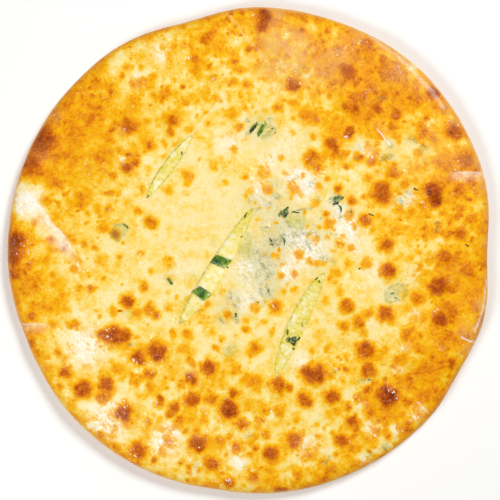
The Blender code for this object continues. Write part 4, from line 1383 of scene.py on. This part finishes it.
def fold_group():
    """Group: a fold seen from above, between Start and End. Line is a thin line along it.

    Beside is 1 on the left of the line and fades out eight widths away. The distance is that to
    the nearest point of the segment, and the side is the sign of the cross product."""
    group, tree, start, end = new_group(
        "fold_line",
        (("Place", "NodeSocketVector"), ("Start", "NodeSocketVector"), ("End", "NodeSocketVector"),
         ("Width", "NodeSocketFloat")),
        ("Line", "Beside"),
    )
    plan = tree.vector("MULTIPLY", start["Place"], (1.0, 1.0, 0.0))
    run = tree.vector("SUBTRACT", start["End"], start["Start"])
    reach = tree.vector("SUBTRACT", plan, start["Start"])
    share = tree.math(
        "DIVIDE", tree.measure("DOT_PRODUCT", reach, run), tree.measure("DOT_PRODUCT", run, run), clamp=True
    )
    nearest = tree.add("ShaderNodeVectorMath", {0: run, "Scale": share}, operation="SCALE").outputs[0]
    away = tree.measure("LENGTH", tree.vector("SUBTRACT", reach, nearest))
    widths = tree.math("DIVIDE", away, start["Width"])
    turn = tree.add("ShaderNodeSeparateXYZ", {0: tree.vector("CROSS_PRODUCT", run, reach)}).outputs[2]
    left = tree.math("GREATER_THAN", turn, 0.0)
    line = tree.rise(widths, 0.2, 1.0, 1.0, 0.0)
    tree.fill(end, {"Line": line, "Beside": tree.product(left, tree.rise(widths, 0.0, 8.0, 1.0, 0.0))})
    return group


def new_material(name):
    """An empty material with its tree and its Principled shader."""
    material = bpy.data.materials.new(name)
    material.use_nodes = True
    return material, Tree(material.node_tree), material.node_tree.nodes["Principled BSDF"]


class Skin(NamedTuple):
    """What the dough's colours are worked out from: sockets of its place, tone and two noises."""

    place: object
    tone: object            # browning with noise and flecks, which the ramp turns into a colour
    mottle: object          # noise of a few millimetres
    grain: object           # noise of about one millimetre
    light: object           # 1 where the skin is pale enough for what lies under it to show
    bent: object            # the place, moved along by a soft noise


def browned_tone(tree, place, flecks, mottle, grain):
    """The painted browning, broken up by noise and flecks, with golden strokes in the milky and glare
    patches.
    """
    browning = tree.painted("browning")
    mottle_reach = tree.rise(browning, 0.0, 0.25, 0.15, 0.18)
    tone = tree.math("ADD", browning, tree.product(tree.math("SUBTRACT", mottle, 0.5), mottle_reach))
    grain_reach = tree.rise(browning, 0.1, 0.8, 0.10, 0.16)
    tone = tree.math("ADD", tone, tree.product(tree.math("SUBTRACT", grain, 0.5), grain_reach))
    from_gold = tree.math("ABSOLUTE", tree.math("SUBTRACT", browning, 0.26))
    room = tree.rise(from_gold, 0.05, 0.26, 0.16, 0.05)
    for spacing, share in ((3.6 * MM, 0.4), (2.0 * MM, 0.3)):
        tone = tree.math("ADD", tone, tree.product(tree.flecks(flecks, place, spacing, share, 0.4), room))
    strokes = tree.rise(brushed(tree, place, 6.0 * MM, 1.5 * MM, 3.0), 0.46, 0.62, 0.0, 0.24)
    pale = tree.product(tree.painted("milky_and_glare"), tree.rise(browning, 0.3, 0.5, 1.0, 0.0))
    return tree.math("ADD", tone, tree.product(strokes, pale))


def skin_of(tree, flecks):
    """The dough's skin, worked out once for all the colours that read it."""
    place = tree.place()
    mottle = tree.rise(tree.noise(place, 4.4 * MM, 5.0, 0.6, 0.5), 0.3, 0.7)
    grain = tree.rise(tree.noise(place, 1.3 * MM, 3.0, 0.6), 0.3, 0.7)
    tone = browned_tone(tree, place, flecks, mottle, grain)
    light = tree.rise(tone, 0.12, 0.34, 1.0, 0.0)
    shift = tree.product(tree.math("SUBTRACT", tree.noise(place, 5.0 * MM, 3.0), 0.5), 3.0 * MM)
    bent = tree.vector("ADD", place, tree.add("ShaderNodeCombineXYZ", {0: shift, 1: shift}).outputs[0])
    return Skin(place, tone, mottle, grain, light, bent)


def milky_and_glare_film(tree, skin, colour, milky_and_glare):
    """The colour with a pale film over it, partly painted glare, in drawn-out patches of the milky and glare
    stretches.
    """
    drawn_out = tree.rise(brushed(tree, skin.place, 11.0 * MM, 3.4 * MM, 4.0), 0.38, 0.58, 0.15, 1.0)
    film = tree.product(milky_and_glare, drawn_out, tree.rise(skin.mottle, 0.0, 1.0, 0.95, 0.4), skin.light)
    return tree.mix(film, colour, MILKY_AND_GLARE_COLOUR)


def veil_of_herbs(tree, skin, colour):
    """The colour with grey-green herbs showing through it, and yellow-green onion."""
    specks = tree.noise(skin.place, 1.5 * MM, 4.0, 0.65, 1.0)
    herbs = tree.product(tree.painted("herbs"), skin.light)
    colour = tree.mix(tree.product(herbs, tree.rise(specks, 0.3, 0.6, 0.3, 0.9)), colour, HERB_PALE)
    colour = tree.mix(tree.product(herbs, tree.rise(specks, 0.58, 0.7), 0.7), colour, HERB_DEEP)
    strands = tree.product(tree.painted("strands"), tree.rise(specks, 0.38, 0.6, 0.2, 1.0))
    colour = tree.mix(strands, colour, HERB_DEEP)
    green = tree.product(tree.painted("green"), tree.rise(specks, 0.35, 0.65, 0.35, 1.0))
    colour = tree.mix(tree.product(green, 0.9), colour, ONION_TINT)
    rings = tree.product(tree.painted("rings"), tree.rise(specks, 0.3, 0.6, 0.3, 0.9))
    return tree.mix(rings, colour, RING_GREEN)


def brushed(tree, place, long, wide, detail):
    """A noise drawn out to long by wide metres, which runs down to the right."""
    run = {"Vector": place, "Rotation": (0.0, 0.0, math.radians(-46.0)), "Scale": (long, wide, 4.0 * MM)}
    stretched = tree.add("ShaderNodeMapping", run, vector_type="TEXTURE").outputs[0]
    return tree.noise(stretched, 1.0, detail, 0.62, 0.9)


def streaks(tree, place):
    """Thin streaks that run down to the right: where a stretched noise crosses its middle value."""
    off = tree.math("ABSOLUTE", tree.math("SUBTRACT", brushed(tree, place, 6.0 * MM, 2.4 * MM, 3.5), 0.5))
    return tree.rise(off, 0.02, 0.12, 1.0, 0.0)


def pinkish_skin_and_glare(tree, skin):
    """How pinkish the skin is: dry skin, and painted pinkish glare."""
    patchy = tree.rise(skin.mottle, 0.0, 1.0, 0.3, 0.9)
    return tree.product(tree.painted("pinkish_and_glare"), patchy, tree.rise(skin.tone, 0.5, 0.95, 0.8, 0.3))


def pale_folds(tree, skin, colour, folds):
    """The colour with each fold's shining line, and the pale dough on its left side."""
    broken = tree.rise(skin.grain, 0.1, 0.7, 0.25, 1.0)
    for start_x, start_y, end_x, end_y, width, line_share, beside_share in PALE_FOLDS:
        ends = {"Start": (start_x * MM, start_y * MM, 0.0), "End": (end_x * MM, end_y * MM, 0.0)}
        fold = tree.group(folds, {"Place": skin.bent, "Width": width * MM, **ends})
        fading = tree.rise(skin.mottle, 0.0, 1.0, beside_share, 0.4 * beside_share)
        colour = tree.mix(tree.product(fold["Beside"], fading), colour, MILKY_AND_GLARE_COLOUR)
        colour = tree.mix(tree.product(fold["Line"], line_share, broken), colour, FOLD_GLINT)
    return colour


def bright_glints(tree, skin, flecks, wet):
    """How bright the small glints on oily skin are: long flecks in clusters, and dots where it is wet."""
    turn = (0.0, 0.0, math.radians(-52.0))
    drawn_out = {"Vector": skin.bent, "Rotation": turn, "Scale": (2.6, 1.0, 1.0)}
    long_place = tree.add("ShaderNodeMapping", drawn_out, vector_type="TEXTURE").outputs[0]
    long_flecks = tree.flecks(flecks, long_place, 1.2 * MM, 0.38, 0.5)
    dots = tree.flecks(flecks, skin.place, 1.5 * MM, 0.24, 0.48)
    clusters = tree.product(tree.math("MAXIMUM", long_flecks, dots), tree.painted("glints"))
    bright = tree.math("MULTIPLY", clusters, 1.8, clamp=True)
    return tree.math("MAXIMUM", bright, tree.product(dots, wet))


def side_and_underside(tree, place, colour, underside):
    """The colour with the pale, layered side of the rim, and the floury, spotted underside."""
    layers = tree.add("ShaderNodeMapping", {"Vector": place, "Scale": (30.0, 30.0, 900.0)}).outputs[0]
    bands = tree.add("ShaderNodeTexNoise", {"Vector": layers, "Scale": 1.0, "Detail": 3.0}).outputs[0]
    side_colour = tree.mix(tree.rise(bands, 0.4, 0.62), SIDE_PALE, SIDE_GOLD)
    colour = tree.mix(tree.product(tree.painted("side"), 0.8), colour, side_colour)
    base_tone = tree.ramp(tree.noise(place, 14.0 * MM, 6.0, 0.62), BASE_STOPS)
    flour = tree.rise(tree.noise(place, 6.0 * MM, 7.0, 0.7), 0.42, 0.66, 0.0, 0.7)
    return tree.mix(underside, colour, tree.mix(flour, base_tone, FLOUR_COLOUR))


def oily_shine(tree, skin, colour, milky_and_glare, wet, flecks):
    """The colour with painted shine: streaks on the milky and glare stretches, a fine sheen on pale skin,
    and glints.
    """
    broken = tree.rise(skin.grain, 0.0, 0.7, 0.3, 1.0)
    shine = tree.product(streaks(tree, skin.place), tree.rise(milky_and_glare, 0.1, 0.6), broken)
    shine = tree.product(shine, tree.rise(skin.tone, 0.15, 0.4, 1.0, 0.1))
    colour = tree.mix(shine, colour, FOLD_GLINT)
    sheen = tree.rise(tree.noise(skin.place, 1.2 * MM, 2.0, 0.6), 0.48, 0.76)
    sheen = tree.product(sheen, tree.rise(skin.tone, 0.1, 0.4, 0.45, 0.05))
    colour = tree.mix(sheen, colour, SHEEN)
    return tree.mix(bright_glints(tree, skin, flecks, wet), colour, FOLD_GLINT)


def slash_edges(tree, skin, colour):
    """The colour with the yellowish lips of the slashes, and the olive-edged dough of their walls."""
    edge = tree.product(tree.painted("slash_edge"), tree.rise(skin.mottle, 0.0, 1.0, 0.1, 0.6))
    colour = tree.mix(edge, colour, LIP_COLOUR)
    patches = tree.rise(tree.noise(skin.place, 6.0 * MM, 2.0), 0.42, 0.58)
    return tree.mix(tree.painted("cut_face"), colour, tree.mix(patches, LIP_COLOUR, OLIVE_EDGE))


def dough_gloss(tree, shader, skin, wrinkles, wet, underside):
    """Wires the dough's roughness, its fine wrinkles, and a rippled coat where it is wet."""
    creases = tree.group(wrinkles, {"Place": skin.place, "Wrinkle Size": 3.6 * MM, "Grain": 0.5})
    dry_bump = {"Strength": 1.0, "Distance": 0.55 * MM, "Height": creases["Height"]}
    rough = tree.math("ADD", tree.rise(wet, 0.0, 0.8, 0.5, 0.3), tree.product(underside, 0.4), clamp=True)
    coat = tree.math("ADD", tree.product(wet, tree.rise(skin.tone, 0.2, 0.45, 0.9, 0.3)), 0.02)
    ripples = tree.noise(skin.place, 3.2 * MM, 1.5, 0.5, 0.6)
    oily_bump = {"Strength": 1.0, "Distance": 1.3 * MM, "Height": ripples}
    tree.fill(shader, {
        "Roughness": rough,
        "Normal": tree.add("ShaderNodeBump", dry_bump).outputs[0],
        "Coat Weight": tree.math("SUBTRACT", coat, underside, clamp=True),
        "Coat Normal": tree.add("ShaderNodeBump", oily_bump).outputs[0],
        "Coat Roughness": 0.08,
        "Specular IOR Level": 0.06,
    })


def dough_material(wrinkles, flecks, folds):
    """Baked dough: cream to dark brown by its browning, with herbs under it and a buttery gloss."""
    material, tree, shader = new_material("baked_dough")
    skin = skin_of(tree, flecks)
    # Pale milky film, partly painted glare
    milky_and_glare = tree.painted("milky_and_glare")
    underside = tree.painted("underside")
    # Pinkish dry skin, partly painted pinkish glare
    pinkish_and_glare = pinkish_skin_and_glare(tree, skin)
    wet = tree.math("ADD", tree.product(milky_and_glare, 0.7), tree.product(pinkish_and_glare, 0.4), clamp=True)
    buttered = tree.rise(tree.noise(skin.place, 12.0 * MM, 2.0), 0.54, 0.70, 0.0, 0.6)
    wet = tree.math("ADD", wet, buttered, clamp=True)

    colour = milky_and_glare_film(tree, skin, tree.ramp(skin.tone, BAKE_STOPS), milky_and_glare)
    colour = veil_of_herbs(tree, skin, colour)
    colour = tree.mix(pinkish_and_glare, colour, PINKISH_SKIN_AND_GLARE_COLOUR)
    colour = pale_folds(tree, skin, colour, folds)
    colour = oily_shine(tree, skin, colour, milky_and_glare, wet, flecks)
    colour = side_and_underside(tree, skin.place, colour, underside)
    tree.fill(shader, {"Base Color": slash_edges(tree, skin, colour)})
    dough_gloss(tree, shader, skin, wrinkles, wet, underside)
    return material


def cheese_material(wrinkles):
    """Melted fresh cheese: pale and moist, yellow-green where whey and herb oil have run."""
    material, tree, shader = new_material("fresh_cheese")
    place = tree.place()
    curds = tree.noise(place, 2.4 * MM, 5.0, 0.6)
    creamy = tree.mix(tree.rise(curds, 0.35, 0.65), CHEESE_YELLOW, CHEESE_CREAM)
    oil = tree.product(tree.painted("oil"), tree.rise(curds, 0.25, 0.6, 1.0, 0.65))
    oily = tree.mix(tree.rise(tree.noise(place, 1.6 * MM, 4.0, 0.6), 0.42, 0.62), OIL_YELLOW, OIL_GREEN)
    colour = tree.mix(oil, creamy, oily)
    colour = tree.mix(tree.product(tree.painted("lump"), 0.75), colour, CURD_WHITE)
    # Painted shadow: a dark olive line along the slashes' edges
    edge_shadow = tree.product(tree.painted("edge_shadow"), tree.rise(curds, 0.3, 0.6, 1.0, 0.6))
    colour = tree.mix(edge_shadow, colour, EDGE_SHADOW_OLIVE)
    height = tree.group(wrinkles, {"Place": place, "Wrinkle Size": 2.0 * MM, "Grain": 0.8})["Height"]
    bump = tree.add("ShaderNodeBump", {"Strength": 0.5, "Distance": 0.35 * MM, "Height": height})
    rough = tree.rise(curds, 0.3, 0.7, 0.12, 0.32)
    tree.fill(shader, {"Base Color": colour, "Roughness": rough, "Normal": bump.outputs[0]})
    tree.fill(shader, {"Specular IOR Level": 0.3})
    return material


def green_material(name, wrinkles, stops):
    """Cooked greens: dark to light by how light the bit is there, with fine wrinkles and an oily gloss."""
    material, tree, shader = new_material(name)
    place = tree.place()
    stain = tree.noise(place, 1.0 * MM, 4.0, 0.6)
    # The painted lightness includes painted highlights on the bits' ends, curled sides and ridges
    light = tree.math("ADD", tree.painted("light"), tree.product(tree.math("SUBTRACT", stain, 0.5), 1.1))
    height = tree.group(wrinkles, {"Place": place, "Wrinkle Size": 0.9 * MM, "Grain": 0.6})["Height"]
    bump = tree.add("ShaderNodeBump", {"Strength": 0.6, "Distance": 0.15 * MM, "Height": height})
    rough = tree.rise(stain, 0.3, 0.7, 0.12, 0.4)
    tree.fill(shader, {"Base Color": tree.ramp(light, stops), "Roughness": rough, "Normal": bump.outputs[0]})
    return material


def floor_material():
    """Plain pale floor."""
    material, tree, shader = new_material("pale_floor")
    tree.fill(shader, {"Base Color": FLOOR_COLOUR, "Roughness": 0.85, "Specular IOR Level": 0.1})
    return material


def make_floor():
    """The floor under the bread, which isn't part of it."""
    half = FLOOR_WIDTH / 2
    corners = np.array(((-half, -half, 0.0), (half, -half, 0.0), (half, half, 0.0), (-half, half, 0.0)))
    floor = mesh_object("floor", corners, [np.array([(0, 1, 2, 3)])])
    floor.data.materials.append(floor_material())


def soft_light(name, place, size, power):
    """A square light that looks at the bread."""
    light = bpy.data.lights.new(name, "AREA")
    light.shape = "SQUARE"
    light.size = size
    light.energy = power
    light.color = LIGHT_COLOUR
    obj = bpy.data.objects.new(name, light)
    bpy.context.scene.collection.objects.link(obj)
    obj.location = place
    obj.rotation_euler = (-Vector(place)).to_track_quat("-Z", "Y").to_euler()


def make_studio():
    """Bright, soft studio light: a light at the upper right, one at the lower left, a white surround."""
    soft_light("light_upper_right", (0.46, 0.52, 0.92), 0.32, 8.2)
    soft_light("light_lower_left", (-0.52, -0.44, 0.80), 0.36, 5.0)
    world = bpy.data.worlds.new("white_surround")
    world.use_nodes = True
    background = world.node_tree.nodes["Background"]
    background.inputs["Color"].default_value = (1.0, 1.0, 1.0, 1.0)
    background.inputs["Strength"].default_value = SURROUND_STRENGTH
    bpy.context.scene.world = world
    bpy.context.scene.view_settings.view_transform = "Standard"


def make_camera():
    """The camera straight above the bread, with the photograph's upward direction along +Y."""
    camera = bpy.data.cameras.new("camera")
    camera.lens = LENS
    camera.sensor_width = SENSOR
    obj = bpy.data.objects.new("camera", camera)
    bpy.context.scene.collection.objects.link(obj)
    obj.location = (*VIEW_CENTRE, SHOULDER_HEIGHT + FRAME_WIDTH * LENS / SENSOR)
    bpy.context.scene.camera = obj


def main():
    """Builds the bread's looks, the floor, the light and the camera."""
    wrinkles = wrinkle_group()
    make_crust(dough_material(wrinkles, fleck_group(), fold_group()))
    make_cheese(cheese_material(wrinkles))
    onion = green_material("onion_green", wrinkles, ONION_STOPS)
    wilted = green_material("wilted_herb", wrinkles, WILTED_STOPS)
    make_greens(onion, wilted)
    make_shreds(wilted)
    make_floor()
    make_studio()
    make_camera()


main()
